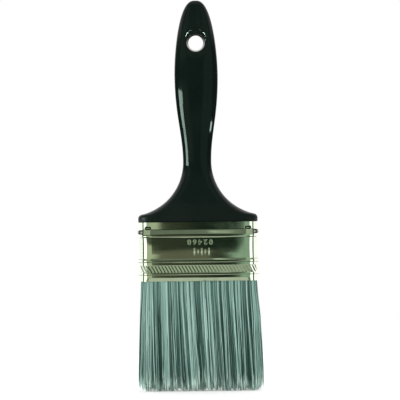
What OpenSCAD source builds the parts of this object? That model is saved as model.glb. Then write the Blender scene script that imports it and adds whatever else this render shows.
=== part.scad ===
// Flat wall brush of the three-inch size: a moulded handle, a rolled sheet ferrule and
// two-tone filaments potted in resin around two spacer strips.
// Millimetres. +Z runs from the bristle tips up to the handle's end, the front face looks
// along -Y, and the origin lies under the middle of the trimmed tips.

/* [Ferrule] */
// Width across the ferrule, the nominal size of the brush
ferrule_w = 76.2; // [60:0.1:100]
// Depth of the ferrule from front to back
ferrule_d = 16; // [14:0.5:22]
// Height of the ferrule
ferrule_h = 37.4; // [34:0.1:48]
// Thickness of the plated sheet
sheet_t = 0.4; // [0.3:0.05:0.6]
// Height of the plain collar above the upper bead
collar_h = 4.9; // [4.6:0.1:7]
// Height of the upper bead
bead_h = 5.1; // [3:0.1:6]
// How far the upper bead stands out
bead_rise = 0.7; // [0.3:0.05:1]
// Height of each narrow bead beside the knurled band
rib_h = 2.5; // [1.5:0.1:3]
// How far the narrow beads stand out
rib_rise = 0.5; // [0.2:0.05:0.8]
// Height of the knurled band
knurl_h = 5.7; // [4:0.1:7]
// Spacing of the slanted teeth round the band
knurl_pitch = 2.13; // [1.8:0.01:3]
// Width of a tooth at its foot
knurl_foot = 1.5; // [0.8:0.05:1.6]
// Width of a tooth at its crest
knurl_crest = 0.5; // [0.3:0.05:0.8]
// How far the teeth stand out
knurl_rise = 0.45; // [0.2:0.05:0.6]
// Sideways lean of a tooth over the height of the band
knurl_lean = 3.6; // [1:0.1:5]
// Height of the plain lip at the mouth
lip_h = 2.7; // [2:0.1:4]

/* [Staking dents] */
// Distance from the ferrule's side to the middle of a dent
stake_edge = 6.4; // [5.5:0.1:14]
// Distance from the ferrule's top to the middle of a dent
stake_drop = 3.2; // [2.4:0.1:3.4]
// Width of a dent
stake_w = 4.2; // [2.5:0.1:6]
// Height of a dent
stake_h = 2; // [1.2:0.1:2.4]
// How deep a dent reaches behind the ferrule's face
stake_depth = 1.9; // [1.5:0.1:2.2]

/* [Handle] */
// Length of the handle above the ferrule
handle_len = 140.6; // [125:0.1:170]
// Height of the shoulder's straight side
shoulder_h = 2.4; // [1:0.1:5]
// Radius of the shoulder's corners
shoulder_r = 2.6; // [1:0.1:4]
// Set-back of the shoulder from the ferrule's outer face
shoulder_inset = 0.2; // [0.1:0.05:0.25]
// Height of the sweep from the shoulder's corner to the waist
flare_h = 33.4; // [25:0.1:40]
// Angle through which the sweep turns
flare_turn = 77; // [60:1:84]
// Width of the waist
waist_w = 17.9; // [14:0.1:24]
// Depth of the waist
waist_d = 13; // [10:0.1:15]
// Breadth of the waist's rounded edge
waist_edge = 5.4; // [4:0.1:6.9]
// Width of the belly
belly_w = 27.5; // [22:0.1:34]
// Depth of the belly
belly_d = 14.8; // [12:0.1:18]
// Breadth of the belly's rounded edge
belly_edge = 8.2; // [6:0.1:10]
// Height of the belly above the waist
belly_up = 55.3; // [40:0.1:60]

/* [Hanging hole] */
// Diameter of the hanging hole
hole_d = 9.4; // [6:0.1:11]
// Distance from the handle's end to the middle of the hole
hole_drop = 26.8; // [20:0.1:32]
// Radius of the hole's rounded lips
hole_lip = 2.5; // [1:0.1:3]

/* [Setting] */
// Play between the ferrule and the pieces inside it
fit = 0.1; // [0.05:0.05:0.2]
// Height of the filaments' potted heels
heel_h = 11.4; // [8:0.1:14]
// Distance from the ferrule's mouth to the heels
heel_inset = 0.6; // [0.4:0.1:2]
// Thickness of each spacer strip
spacer_t = 2; // [1.5:0.1:3]
// Distance from the ferrule's side to a spacer's end, at least
spacer_end = 8; // [6:0.1:14]
// Height of the resin poured over the heels
resin_h = 5; // [3:0.1:7]
// Space between the resin and the handle's tenon
tenon_gap = 2; // [1:0.1:3]
// Wall round the pockets that core the tenon out
core_wall = 2.4; // [1.8:0.1:3]
// Number of cored pockets
core_count = 4; // [2:1:6]
// Depth of the cored pockets
core_depth = 9; // [4:0.1:12]

/* [Bristles] */
// Length of the filaments outside the ferrule
bristle_len = 69.7; // [45:0.1:90]
// Spacing of the strands across the brush
strand_pitch = 1.75; // [1.6:0.05:2.4]
// Rows of strands in each bank
strand_rows = 3; // [2:1:3]
// Thickness of a strand at its root, corner to corner
strand_root = 1.1; // [0.7:0.05:1.1]
// Thickness of a strand half way down
strand_mid = 1; // [0.6:0.05:1.1]
// Thickness of a strand at its tip
strand_tip = 0.65; // [0.3:0.05:0.8]
// How far the bristles spread past the root at each side
tip_flare = 1.9; // [0:0.1:4]
// How far the bristles bulge half way down, front and back
mid_bulge = 0.5; // [0:0.1:2]
// Unevenness of the tips
tip_ragged = 2; // [0:0.1:4]
// Depth to which the longest tips are trimmed flat
tip_trim = 0.5; // [0.3:0.1:1]
// Height by which the outermost tips are shorter
corner_lift = 4.5; // [0:0.1:8]
// Breadth of the rounded corner of the bristles
corner_w = 5; // [2:0.1:12]

/* [Hidden] */
$fn = 64;

// Heights of the ferrule's mouth and of its top, where the handle's shoulder rests
mouth_z = bristle_len;
collar_z = mouth_z + ferrule_h;

// The ferrule's plan is a stadium: the half length of its flats and its end radius
core = (ferrule_w - ferrule_d) / 2;
end_r = ferrule_d / 2;
inner_r = end_r - sheet_t - fit;
inner_half = core + inner_r;

// Heights on the ferrule, counted from the mouth
low_rib_z = lip_h;
knurl_z = low_rib_z + rib_h;
high_rib_z = knurl_z + knurl_h;
bead_z = ferrule_h - collar_h - bead_h;

// Heights of the pieces set inside the ferrule
heel_z = mouth_z + heel_inset;
resin_z = heel_z + heel_h;
tenon_z = resin_z + resin_h + tenon_gap;
tenon_len = collar_z - tenon_z;

// Heights and half sizes along the handle
side_z = collar_z + shoulder_h;
flare_z = side_z + shoulder_r * sin(flare_turn);
waist_z = flare_z + flare_h;
belly_z = waist_z + belly_up;
top_z = collar_z + handle_len;
shoulder_half = ferrule_w / 2 - shoulder_inset;
shoulder_deep = end_r - shoulder_inset;
flare_half = shoulder_half - shoulder_r * (1 - cos(flare_turn));
flare_rx = (flare_half - waist_w / 2) / (1 - cos(flare_turn));
flare_rz = flare_h / sin(flare_turn);
hole_z = top_z - hole_drop;

// The handle's end narrows by these powers, and stops at a small flat this far under its top
end_power = 1.7;
end_root = 0.39;
end_depth_power = 3;
end_flat = 0.07;

// Rings along each stretch of the handle, and steps round each rounded edge
corner_steps = 4;
flare_steps = 12;
grip_steps = 11;
end_steps = 14;
edge_steps = 11;
arc_steps = 10;
bead_steps = 8;

// How strongly the grip's outline holds the waist's and the belly's direction
waist_hold = 0.33;
belly_hold = 0.48;

// Overlap by which a fused or cut shape runs past its face
over = 0.5;

// The banks of filament, from front to back, with their shared depth
bank_t = (2 * inner_r - 2 * spacer_t) / 3;
spacer_y = (bank_t + spacer_t) / 2;
bank_step = bank_t + spacer_t;
row_pitch = bank_t / strand_rows;
root_z = heel_z + over;

// Columns of strands fill the width evenly, and the spacers end between two of them
outer_x = core + sqrt(inner_r * inner_r - row_pitch * row_pitch / 4) - strand_root / 2;
columns = 2 * floor(outer_x / strand_pitch);
column_step = 2 * outer_x / (columns - 1);
spacer_half = column_step * floor((ferrule_w / 2 - spacer_end) / column_step);

// Where along its free length a strand bends, and how far it strays from its neighbours
bend_share = 0.55;
bend_z = mouth_z * (1 - bend_share);
sway = 0.25;

handle_tint = [0.07, 0.1, 0.09];
metal_tint = [0.72, 0.75, 0.71];
resin_tint = [0.62, 0.52, 0.3];
wood_tint = [0.76, 0.62, 0.43];
dark_tint = [0.17, 0.26, 0.23];
pale_tint = [0.58, 0.7, 0.66];

function mix(a, b, t) = a + (b - a) * t;

function smooth(t) = t * t * (3 - 2 * t);

// Cubic curve value between a and b with its two inner handles p and q
function cubic(a, p, q, b, t) =
    a * pow(1 - t, 3) + 3 * p * t * pow(1 - t, 2) + 3 * q * t * t * (1 - t) + b * pow(t, 3);

// A closed ring at height z: flat front and back, with elliptical edges of breadth edge
function section(half, deep, edge, z) = concat(
    [for (k = [0:edge_steps])
        let (a = -90 + 180 * k / edge_steps)
        [half - edge + edge * cos(a), deep * sin(a), z]],
    [for (k = [0:edge_steps])
        let (a = 90 + 180 * k / edge_steps)
        [edge - half + edge * cos(a), deep * sin(a), z]]
);

// Half depth and edge breadth of the handle between its shoulder and its waist
function neck_part(z) = smooth((waist_z - z) / (waist_z - side_z));
function neck_deep(z) = mix(waist_d / 2, shoulder_deep, neck_part(z));
function neck_edge(z) = mix(waist_edge, shoulder_deep, neck_part(z));

// The handle's rings, from the shoulder up
function shoulder_rings() = concat(
    [section(shoulder_half, shoulder_deep, shoulder_deep, collar_z)],
    [for (k = [0:corner_steps - 1])
        let (
            a = flare_turn * k / corner_steps,
            half = shoulder_half - shoulder_r * (1 - cos(a)),
            z = side_z + shoulder_r * sin(a)
        )
        section(half, neck_deep(z), neck_edge(z), z)]
);

function flare_rings() = [
    for (k = [0:flare_steps - 1])
        let (
            a = flare_turn * (1 - k / flare_steps),
            half = waist_w / 2 + flare_rx * (1 - cos(a)),
            z = waist_z - flare_rz * sin(a)
        )
        section(half, neck_deep(z), neck_edge(z), z)
];

function grip_rings() = [
    for (k = [0:grip_steps - 1])
        let (
            t = k / grip_steps,
            low = waist_z + waist_hold * belly_up,
            high = belly_z - belly_hold * belly_up
        )
        section(
            mix(waist_w, belly_w, smooth(t)) / 2,
            mix(waist_d, belly_d, smooth(t)) / 2,
            mix(waist_edge, belly_edge, smooth(t)),
            cubic(waist_z, low, high, belly_z, t)
        )
];

function end_deep(u) = belly_d / 2 * sqrt(1 - pow(u, end_depth_power));

function end_rings() = [
    for (k = [0:end_steps])
        let (
            u = (1 - end_flat / (top_z - belly_z)) * (1 - pow(1 - k / end_steps, 2)),
            narrow = pow(1 - pow(u, end_power), end_root)
        )
        section(
            belly_w / 2 * narrow,
            end_deep(u),
            belly_edge * narrow,
            mix(belly_z, top_z, u)
        )
];

// A solid through a stack of rings of equal point counts
module loft(rings) {
    n = len(rings[0]);
    last = len(rings) - 1;
    points = [for (ring = rings) each ring];
    walls = [
        for (r = [0:last - 1], k = [0:n - 1])
            let (a = r * n + k, b = r * n + (k + 1) % n)
            each [[a, a + n, b + n], [a, b + n, b]]
    ];
    floor_face = [for (k = [0:n - 1]) k];
    roof_face = [for (k = [n - 1:-1:0]) last * n + k];
    polyhedron(points, concat([floor_face], walls, [roof_face]), convexity = 8);
}

// Plan of the ferrule drawn in to the end radius r
module stadium(r) {
    square([2 * core, 2 * r], center = true);
    for (side = [-1, 1])
        translate([side * core, 0]) circle(r);
}

// A profile, whose X is the distance from the plan's core line, carried round the plan
module around_plan() {
    for (turn = [0, 180])
        rotate([0, 0, turn]) {
            translate([core, 0, 0]) rotate([0, 0, -90]) rotate_extrude(angle = 180) children();
            rotate([90, 0, 90]) linear_extrude(2 * core, center = true) children();
        }
}

// Outline of a bead that stands out by rise, as distance and height pairs
function bead(z, h, rise) = [
    for (k = [0:bead_steps])
        [rise * sin(180 * k / bead_steps), z + h * k / bead_steps]
];

// The sheet's outer line from the mouth up
function sheet_line() = concat(
    [[0, 0]],
    bead(low_rib_z, rib_h, rib_rise),
    bead(high_rib_z, rib_h, rib_rise),
    bead(bead_z, bead_h, bead_rise),
    [[0, ferrule_h]]
);

module sheet_profile() {
    line = sheet_line();
    last = len(line) - 1;
    outer = [for (p = line) [end_r + p[0], mouth_z + p[1]]];
    inner = [for (k = [last:-1:0]) [outer[k][0] - sheet_t, outer[k][1]]];
    polygon(concat(outer, inner));
}

// Point of the plan at the length s along it, from the left end of the front flat, and at
// the distance out from the ferrule's face
function plan_point(s, out) =
    let (flat = 2 * core, bend = PI * end_r, half = flat + bend)
    s < 0 ? plan_point(s + 2 * half, out) :
    s >= half ? -plan_point(s - half, out) :
    s < flat ? [s - core, -end_r - out] :
    let (a = (s - flat) / end_r * 180 / PI - 90)
    [core + (end_r + out) * cos(a), (end_r + out) * sin(a)];

// Four cross-sections of one slanted tooth, whose ends run out into the sheet
function tooth_points(s) = [
    for (part = [0, 0.2, 0.8, 1])
        let (
            middle = s + knurl_lean * (0.5 - part),
            z = mouth_z + knurl_z + knurl_h * part,
            rise = part == 0 || part == 1 ? knurl_rise / 4 : knurl_rise,
            foot = -sheet_t / 2
        )
        each [
            for (corner = [
                [-knurl_crest / 2, rise], [knurl_crest / 2, rise],
                [knurl_foot / 2, foot], [-knurl_foot / 2, foot]
            ])
                let (p = plan_point(middle + corner[0], corner[1]))
                [p[0], p[1], z]
        ]
];

// Triangles of a bar of four-cornered cross-sections, whose first point is number first
function bar_faces(first, sections) = concat(
    [[first, first + 1, first + 2], [first, first + 2, first + 3]],
    [for (r = [0:sections - 2], k = [0:3])
        let (a = first + 4 * r + k, b = first + 4 * r + (k + 1) % 4)
        each [[a, a + 4, b + 4], [a, b + 4, b]]],
    let (end = first + 4 * (sections - 1))
    [[end, end + 2, end + 1], [end, end + 3, end + 2]]
);

// Bars of equal point counts, each given by the points of its cross-sections
module bars(list) {
    size = len(list[0]);
    points = [for (bar = list) each bar];
    faces = [for (k = [0:len(list) - 1]) each bar_faces(k * size, size / 4)];
    polyhedron(points, faces, convexity = 10);
}

module knurl_teeth() {
    round_trip = 4 * core + 2 * PI * end_r;
    count = floor(round_trip / knurl_pitch);
    bars([for (k = [0:count - 1]) tooth_points(round_trip * k / count)]);
}

// The four staking dents, each grown by a margin and sunk to the given depth
module dents(margin, depth) {
    high = stake_h + 2 * margin;
    wide = stake_w - stake_h;
    for (side = [-1, 1], face = [-1, 1])
        translate([side * (ferrule_w / 2 - stake_edge), face * end_r, collar_z - stake_drop])
            rotate([90, 0, 0])
                linear_extrude(2 * depth, center = true) {
                    square([wide, high], center = true);
                    for (end = [-1, 1])
                        translate([end * wide / 2, 0]) circle(d = high);
                }
}

module ferrule() {
    color(metal_tint)
        difference() {
            union() {
                around_plan() sheet_profile();
                knurl_teeth();
                intersection() {
                    dents(sheet_t, stake_depth);
                    translate([0, 0, collar_z - collar_h])
                        linear_extrude(collar_h) stadium(end_r - sheet_t / 2);
                }
            }
            dents(0, stake_depth - sheet_t);
        }
}

// The round hole through the handle, with a rounded lip at each face
module hanging_hole() {
    deep = end_deep((hole_z - belly_z) / (top_z - belly_z));
    translate([0, 0, hole_z])
        rotate([90, 0, 0]) {
            cylinder(h = 2 * belly_d, d = hole_d, center = true);
            for (turn = [0, 180])
                rotate([turn, 0, 0])
                    rotate_extrude()
                        polygon(concat(
                            [[0, deep - hole_lip]],
                            [for (k = [0:arc_steps])
                                let (a = 180 - 90 * k / arc_steps)
                                [hole_d / 2 + hole_lip * (1 + cos(a)), deep - hole_lip * (1 - sin(a))]],
                            [[hole_d / 2 + hole_lip, deep + over], [0, deep + over]]
                        ));
        }
}

// The tenon that the ferrule grips, cored from below and notched for the dents
module tenon() {
    pocket_w = (2 * core - (core_count - 1) * core_wall) / core_count;
    pocket_d = 2 * (inner_r - core_wall);
    difference() {
        translate([0, 0, tenon_z]) linear_extrude(tenon_len + over) stadium(inner_r);
        for (k = [0:core_count - 1])
            translate([-core + k * (pocket_w + core_wall), -pocket_d / 2, tenon_z - over])
                cube([pocket_w, pocket_d, core_depth + over]);
        dents(sheet_t + fit, stake_depth + fit);
    }
}

module handle() {
    color(handle_tint)
        difference() {
            union() {
                loft(concat(shoulder_rings(), flare_rings(), grip_rings(), end_rings()));
                tenon();
            }
            hanging_hole();
        }
}

module resin_setting() {
    color(resin_tint)
        translate([0, 0, resin_z]) linear_extrude(resin_h) stadium(inner_r);
}

module spacer(side) {
    color(wood_tint)
        translate([0, side * spacer_y, heel_z + heel_h / 2])
            cube([2 * spacer_half, spacer_t, heel_h], center = true);
}

module front_spacer() {
    spacer(-1);
}

module back_spacer() {
    spacer(1);
}

// Middle of a column of strands, and whether the column lies past the spacers' ends
function column_x(c) = (c - (columns - 1) / 2) * column_step;
function past_spacer(c) = abs(column_x(c)) > spacer_half;

// Depth of the plan's inner face at x
function wall_y(x) =
    abs(x) <= core ? inner_r : sqrt(max(0, inner_r * inner_r - pow(abs(x) - core, 2)));

// Nearest and farthest depth of a column in an outer bank, and half depth in the middle one
function near_y(c) = past_spacer(c) ? spacer_y : spacer_y + spacer_t / 2;
function middle_y(c) = past_spacer(c) ? spacer_y : bank_t / 2;

// The two filament colours fall in streaks across each bank
function is_dark(c, bank) = sin(c * 97 + bank * 151) + 0.8 * sin(c * 41 + bank * 67) > 0.1;

// Depths of the strands of one column
function outer_rows(c) =
    let (
        reach = wall_y(abs(column_x(c)) + strand_root / 2),
        rows = floor((reach - near_y(c)) / row_pitch + 0.01)
    )
    [for (r = [0:1:rows - 1]) near_y(c) + (r + 0.5) * row_pitch];

function middle_rows(c) =
    let (
        reach = min(middle_y(c), wall_y(abs(column_x(c)) + strand_root / 2)),
        rows = floor(2 * reach / row_pitch + 0.01)
    )
    [for (r = [0:1:rows - 1]) (r - (rows - 1) / 2) * row_pitch];

function column_rows(c, bank) =
    bank == 0 ? middle_rows(c) : [for (y = outer_rows(c)) bank * y];

// Square ring of one strand round a middle point
function strand_ring(x, y, z, thick, turn) = [
    for (k = [0:3])
        [x + thick / 2 * cos(turn + 90 * k), y + thick / 2 * sin(turn + 90 * k), z]
];

// One strand of a column from its trimmed tip to its potted root at depth y. Below the mouth
// the rows open out and step aside in turn, so that the banks close up over the spacers.
function strand_points(c, y, row, bank, key) =
    let (
        chance = rands(-1, 1, 5, key),
        x = column_x(c),
        across = x / outer_x,
        corner = max(0, (abs(x) - outer_x + corner_w) / corner_w),
        tip_z = max(0, mix(-tip_trim, tip_ragged, abs(chance[0])) + corner_lift * corner * corner),
        opening = past_spacer(c) ? 1 : bank_step / bank_t,
        open_y = mix(bank * bank_step, y, opening),
        through = y / inner_r,
        turn = 45 + 20 * chance[1],
        stagger = (((row + bank + 3) % 3) - 1) * column_step / 3 * (1 - across * across)
    )
    concat(
        strand_ring(
            x + stagger + tip_flare * across + sway * chance[2],
            open_y + mid_bulge * through / 2 + sway * chance[3] / 2,
            tip_z, strand_tip, turn
        ),
        strand_ring(
            x + stagger + tip_flare * across * bend_share + sway * chance[4] / 2,
            open_y + mid_bulge * through,
            bend_z, strand_mid, turn
        ),
        strand_ring(x, y, root_z, strand_root, turn)
    );

// All strands of one colour in one bank: -1 is the front, 0 the middle and 1 the back
module strands(bank, dark) {
    first_key = 1000 * (bank + 2) + (dark ? 500 : 0);
    roots = [
        for (c = [0:columns - 1])
            if (is_dark(c, bank) == dark)
                let (rows = column_rows(c, bank))
                for (row = [0:1:len(rows) - 1]) [c, rows[row], row]
    ];
    bars([
        for (k = [0:len(roots) - 1])
            let (root = roots[k])
            strand_points(root[0], root[1], root[2], bank, first_key + k)
    ]);
}

// The potted heels of those strands, a slice for each column
module heels(bank, dark) {
    translate([0, 0, heel_z])
        linear_extrude(heel_h)
            intersection() {
                stadium(inner_r);
                for (c = [0:columns - 1])
                    if (is_dark(c, bank) == dark)
                        heel_slice(c, bank);
            }
}

module heel_slice(c, bank) {
    last = c == 0 || c == columns - 1;
    wide = column_step + (last ? ferrule_d : 0);
    x = column_x(c) + (last ? sign(column_x(c)) * ferrule_d / 2 : 0);
    deep = bank == 0 ? 2 * middle_y(c) : inner_r - near_y(c);
    y = bank == 0 ? 0 : bank * (near_y(c) + deep / 2);
    translate([x, y]) square([wide, deep], center = true);
}

module filaments(bank, dark) {
    color(dark ? dark_tint : pale_tint) {
        heels(bank, dark);
        strands(bank, dark);
    }
}

module front_dark_filaments() {
    filaments(-1, true);
}

module front_pale_filaments() {
    filaments(-1, false);
}

module middle_dark_filaments() {
    filaments(0, true);
}

module middle_pale_filaments() {
    filaments(0, false);
}

module back_dark_filaments() {
    filaments(1, true);
}

module back_pale_filaments() {
    filaments(1, false);
}

handle();
ferrule();
resin_setting();
front_spacer();
back_spacer();
front_dark_filaments();
front_pale_filaments();
middle_dark_filaments();
middle_pale_filaments();
back_dark_filaments();
back_pale_filaments();
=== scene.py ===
"""Dressed model of a flat three-inch wall brush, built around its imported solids.

The brush stands upright on its bristle tips. +Z runs up to the handle's end, the front face
looks along -Y, and every length is in metres.
"""

import logging
import math
from dataclasses import dataclass
from enum import Enum
from functools import reduce
from typing import Any, Dict, Iterable, Iterator, List, Optional, Sequence, Tuple, Union

import bmesh
import bpy
import numpy as np
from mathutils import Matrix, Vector


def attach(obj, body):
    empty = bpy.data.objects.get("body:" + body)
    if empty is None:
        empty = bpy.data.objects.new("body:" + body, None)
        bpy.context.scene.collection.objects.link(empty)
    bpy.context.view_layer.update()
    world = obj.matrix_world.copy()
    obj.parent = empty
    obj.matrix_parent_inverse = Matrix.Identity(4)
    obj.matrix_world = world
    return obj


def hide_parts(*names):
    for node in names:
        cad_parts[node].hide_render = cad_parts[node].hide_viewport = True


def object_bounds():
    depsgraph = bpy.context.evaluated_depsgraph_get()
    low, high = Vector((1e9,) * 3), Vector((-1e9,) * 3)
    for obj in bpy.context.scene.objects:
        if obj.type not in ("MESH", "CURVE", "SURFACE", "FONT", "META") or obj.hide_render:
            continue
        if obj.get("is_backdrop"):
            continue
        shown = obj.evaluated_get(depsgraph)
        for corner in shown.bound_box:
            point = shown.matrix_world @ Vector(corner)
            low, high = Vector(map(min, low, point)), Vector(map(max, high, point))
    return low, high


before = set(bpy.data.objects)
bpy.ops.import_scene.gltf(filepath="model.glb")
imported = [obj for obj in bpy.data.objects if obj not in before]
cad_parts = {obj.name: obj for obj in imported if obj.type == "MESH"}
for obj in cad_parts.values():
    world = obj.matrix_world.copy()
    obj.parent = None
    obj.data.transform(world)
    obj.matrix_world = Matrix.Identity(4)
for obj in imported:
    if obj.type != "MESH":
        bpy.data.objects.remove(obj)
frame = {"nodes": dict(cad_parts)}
CAD_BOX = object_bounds()

log = logging.getLogger("paint_brush")

Array = np.ndarray
Object = bpy.types.Object
Material = bpy.types.Material
Socket = bpy.types.NodeSocket
Pair = Tuple[float, float]
Triple = Tuple[float, float, float]
Faces = List[Tuple[int, ...]]
Input = Union[float, Sequence[float], Socket]

BODY = "root"
GRIP = "handle_moulding"
SEED = 7351
MERGE = 2e-6
QUARTER = math.pi / 2
FULL = 2.0 * math.pi
CLOSE_ROW = math.sqrt(0.75)
NOISE_SPAN = (0.3, 0.7)


class Tone(Enum):
    """The two colours of filament."""

    DARK = "dark"
    PALE = "pale"


class Bank(Enum):
    """The three banks of filament, by their place from front to back."""

    FRONT = -1
    MIDDLE = 0
    BACK = 1


def mix(a: float, b: float, t: float) -> float:
    """Value between a and b at the share t."""
    return a + (b - a) * t


def ease(t: Union[float, Array]) -> Union[float, Array]:
    """Smooth step of t, held between 0 and 1."""
    held = np.clip(t, 0.0, 1.0)
    return held * held * (3.0 - 2.0 * held)


# Modelling bench: small steps that the pieces share


def take(piece: Object) -> None:
    """Makes a piece the only selected object, and the active one.

    Args:
        piece: Piece to work on.
    """
    bpy.ops.object.select_all(action="DESELECT")
    piece.select_set(True)
    bpy.context.view_layer.objects.active = piece


def remove(piece: Object) -> None:
    """Deletes a piece that has done its work."""
    take(piece)
    bpy.ops.object.delete()


def add(name: str, data: bpy.types.ID) -> Object:
    """Sets new data into the scene as an object.

    Args:
        name: Name of the object.
        data: Mesh or other data for it.

    Returns:
        The new object.
    """
    made = bpy.data.objects.new(name, data)
    bpy.context.collection.objects.link(made)
    return made


def settle(piece: Object) -> None:
    """Puts a piece's place, turn and size into its mesh."""
    take(piece)
    bpy.ops.object.transform_apply(location=True, rotation=True, scale=True)


def clean(piece: Object) -> None:
    """Merges doubled points and turns all faces outwards.

    Args:
        piece: Piece whose mesh is put right.
    """
    take(piece)
    bpy.ops.object.mode_set(mode="EDIT")
    bpy.ops.mesh.select_all(action="SELECT")
    bpy.ops.mesh.remove_doubles(threshold=MERGE)
    bpy.ops.mesh.normals_make_consistent(inside=False)
    bpy.ops.object.mode_set(mode="OBJECT")


def smooth(piece: Object, degrees: float) -> None:
    """Shades a piece smooth, apart from edges sharper than an angle."""
    take(piece)
    bpy.ops.object.shade_smooth_by_angle(angle=math.radians(degrees))


def apply(piece: Object, kind: str, **traits: Any) -> None:
    """Adds a modifier of a kind, with its settings, and applies it.

    Args:
        piece: Piece that takes the modifier.
        kind: The modifier's type.
        traits: The modifier's settings.
    """
    take(piece)
    made = piece.modifiers.new(kind.lower(), kind)
    for trait, value in traits.items():
        setattr(made, trait, value)
    bpy.ops.object.modifier_apply(modifier=made.name)


def thicken(piece: Object, thickness: float, offset: float) -> None:
    """Gives an open skin a wall, behind its faces at offset -1 or in front of them at 1."""
    apply(piece, "SOLIDIFY", thickness=thickness, offset=offset, use_even_offset=True)


def cut(piece: Object, cutter: Object) -> None:
    """Cuts one closed shape out of another and removes the cutter."""
    apply(piece, "BOOLEAN", operation="DIFFERENCE", solver="EXACT", object=cutter)
    remove(cutter)


def join(main: Object, others: Sequence[Object]) -> None:
    """Joins other shapes into a piece.

    Args:
        main: Piece that takes them in.
        others: Shapes that go into it.
    """
    take(main)
    for other in others:
        other.select_set(True)
    bpy.ops.object.join()


def points_of(piece: Object) -> Array:
    """Places of a piece's points, one row each.

    Args:
        piece: Piece to read.

    Returns:
        The places, in three columns.
    """
    places = np.empty(len(piece.data.vertices) * 3)
    piece.data.vertices.foreach_get("co", places)
    return places.reshape(-1, 3)


def set_points(piece: Object, places: Array) -> None:
    """Puts a piece's points at new places."""
    piece.data.vertices.foreach_set("co", np.ascontiguousarray(places).ravel())
    piece.data.update()


def copy_of(piece: Object, name: str) -> Object:
    """Copies a piece with a mesh of its own.

    Args:
        piece: Piece to copy.
        name: Name of the copy.

    Returns:
        The copy.
    """
    take(piece)
    bpy.ops.object.duplicate(linked=False)
    made = bpy.context.object
    made.name = name
    return made


def pattern_of(piece: Object) -> Tuple[Array, Faces]:
    """Points and faces of a shape that is to be copied; the shape itself goes.

    Args:
        piece: Shape to read and remove.

    Returns:
        Its points, one row each, and its faces.
    """
    points = points_of(piece)
    faces = [tuple(face.vertices) for face in piece.data.polygons]
    remove(piece)
    return points, faces


def repeated(name: str, places: Array, faces: Faces) -> Object:
    """Makes one piece of many copies, from the places of each one's points and one's faces.

    Args:
        name: Name of the piece.
        places: Places of the points, by copy and point.
        faces: Faces of one copy.

    Returns:
        The piece.
    """
    size = places.shape[1]
    corners = [tuple(i + k * size for i in face) for k in range(len(places)) for face in faces]
    mesh = bpy.data.meshes.new(name)
    mesh.from_pydata(places.reshape(-1, 3).tolist(), [], corners)
    return add(name, mesh)


def rounded_block(size: Triple, place: Triple, edge: float) -> Object:
    """Models a block of a size, with its middle at a place and its edges rounded.

    Args:
        size: Width, depth and height.
        place: Middle of the block.
        edge: Breadth of its rounded edges.

    Returns:
        The block.
    """
    bpy.ops.mesh.primitive_cube_add(size=1.0, location=place, scale=size)
    block = bpy.context.object
    settle(block)
    bpy.ops.object.mode_set(mode="EDIT")
    bpy.ops.mesh.select_all(action="SELECT")
    bpy.ops.mesh.bevel(offset=edge, segments=3)
    bpy.ops.object.mode_set(mode="OBJECT")
    return block


def dress(piece: Object, material: Material) -> None:
    """Gives a piece one material."""
    piece.data.materials.clear()
    piece.data.materials.append(material)


def hand_over(piece: Object, slot: str, *nodes: str) -> None:
    """Sets a finished piece on the brush in place of its solids.

    Args:
        piece: The finished piece.
        slot: The record's material slot; not used.
        nodes: Names of the solids that it stands for.
    """
    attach(piece, BODY)
    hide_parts(*nodes)
    log.info("%s: %d faces, for %s", piece.name, len(piece.data.polygons), ", ".join(nodes))


@dataclass(frozen=True)
class Ring:
    """A level ring of two rounded ends joined by two flats.

    Attributes:
        z: Height of the ring.
        half: Half of its width over all.
        deep: Half of its depth.
        edge: Breadth of each rounded end.
    """

    z: float
    half: float
    deep: float
    edge: float

    @property
    def centre(self) -> float:
        """Distance from the middle to the centre of a rounded end."""
        return self.half - self.edge


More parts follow.
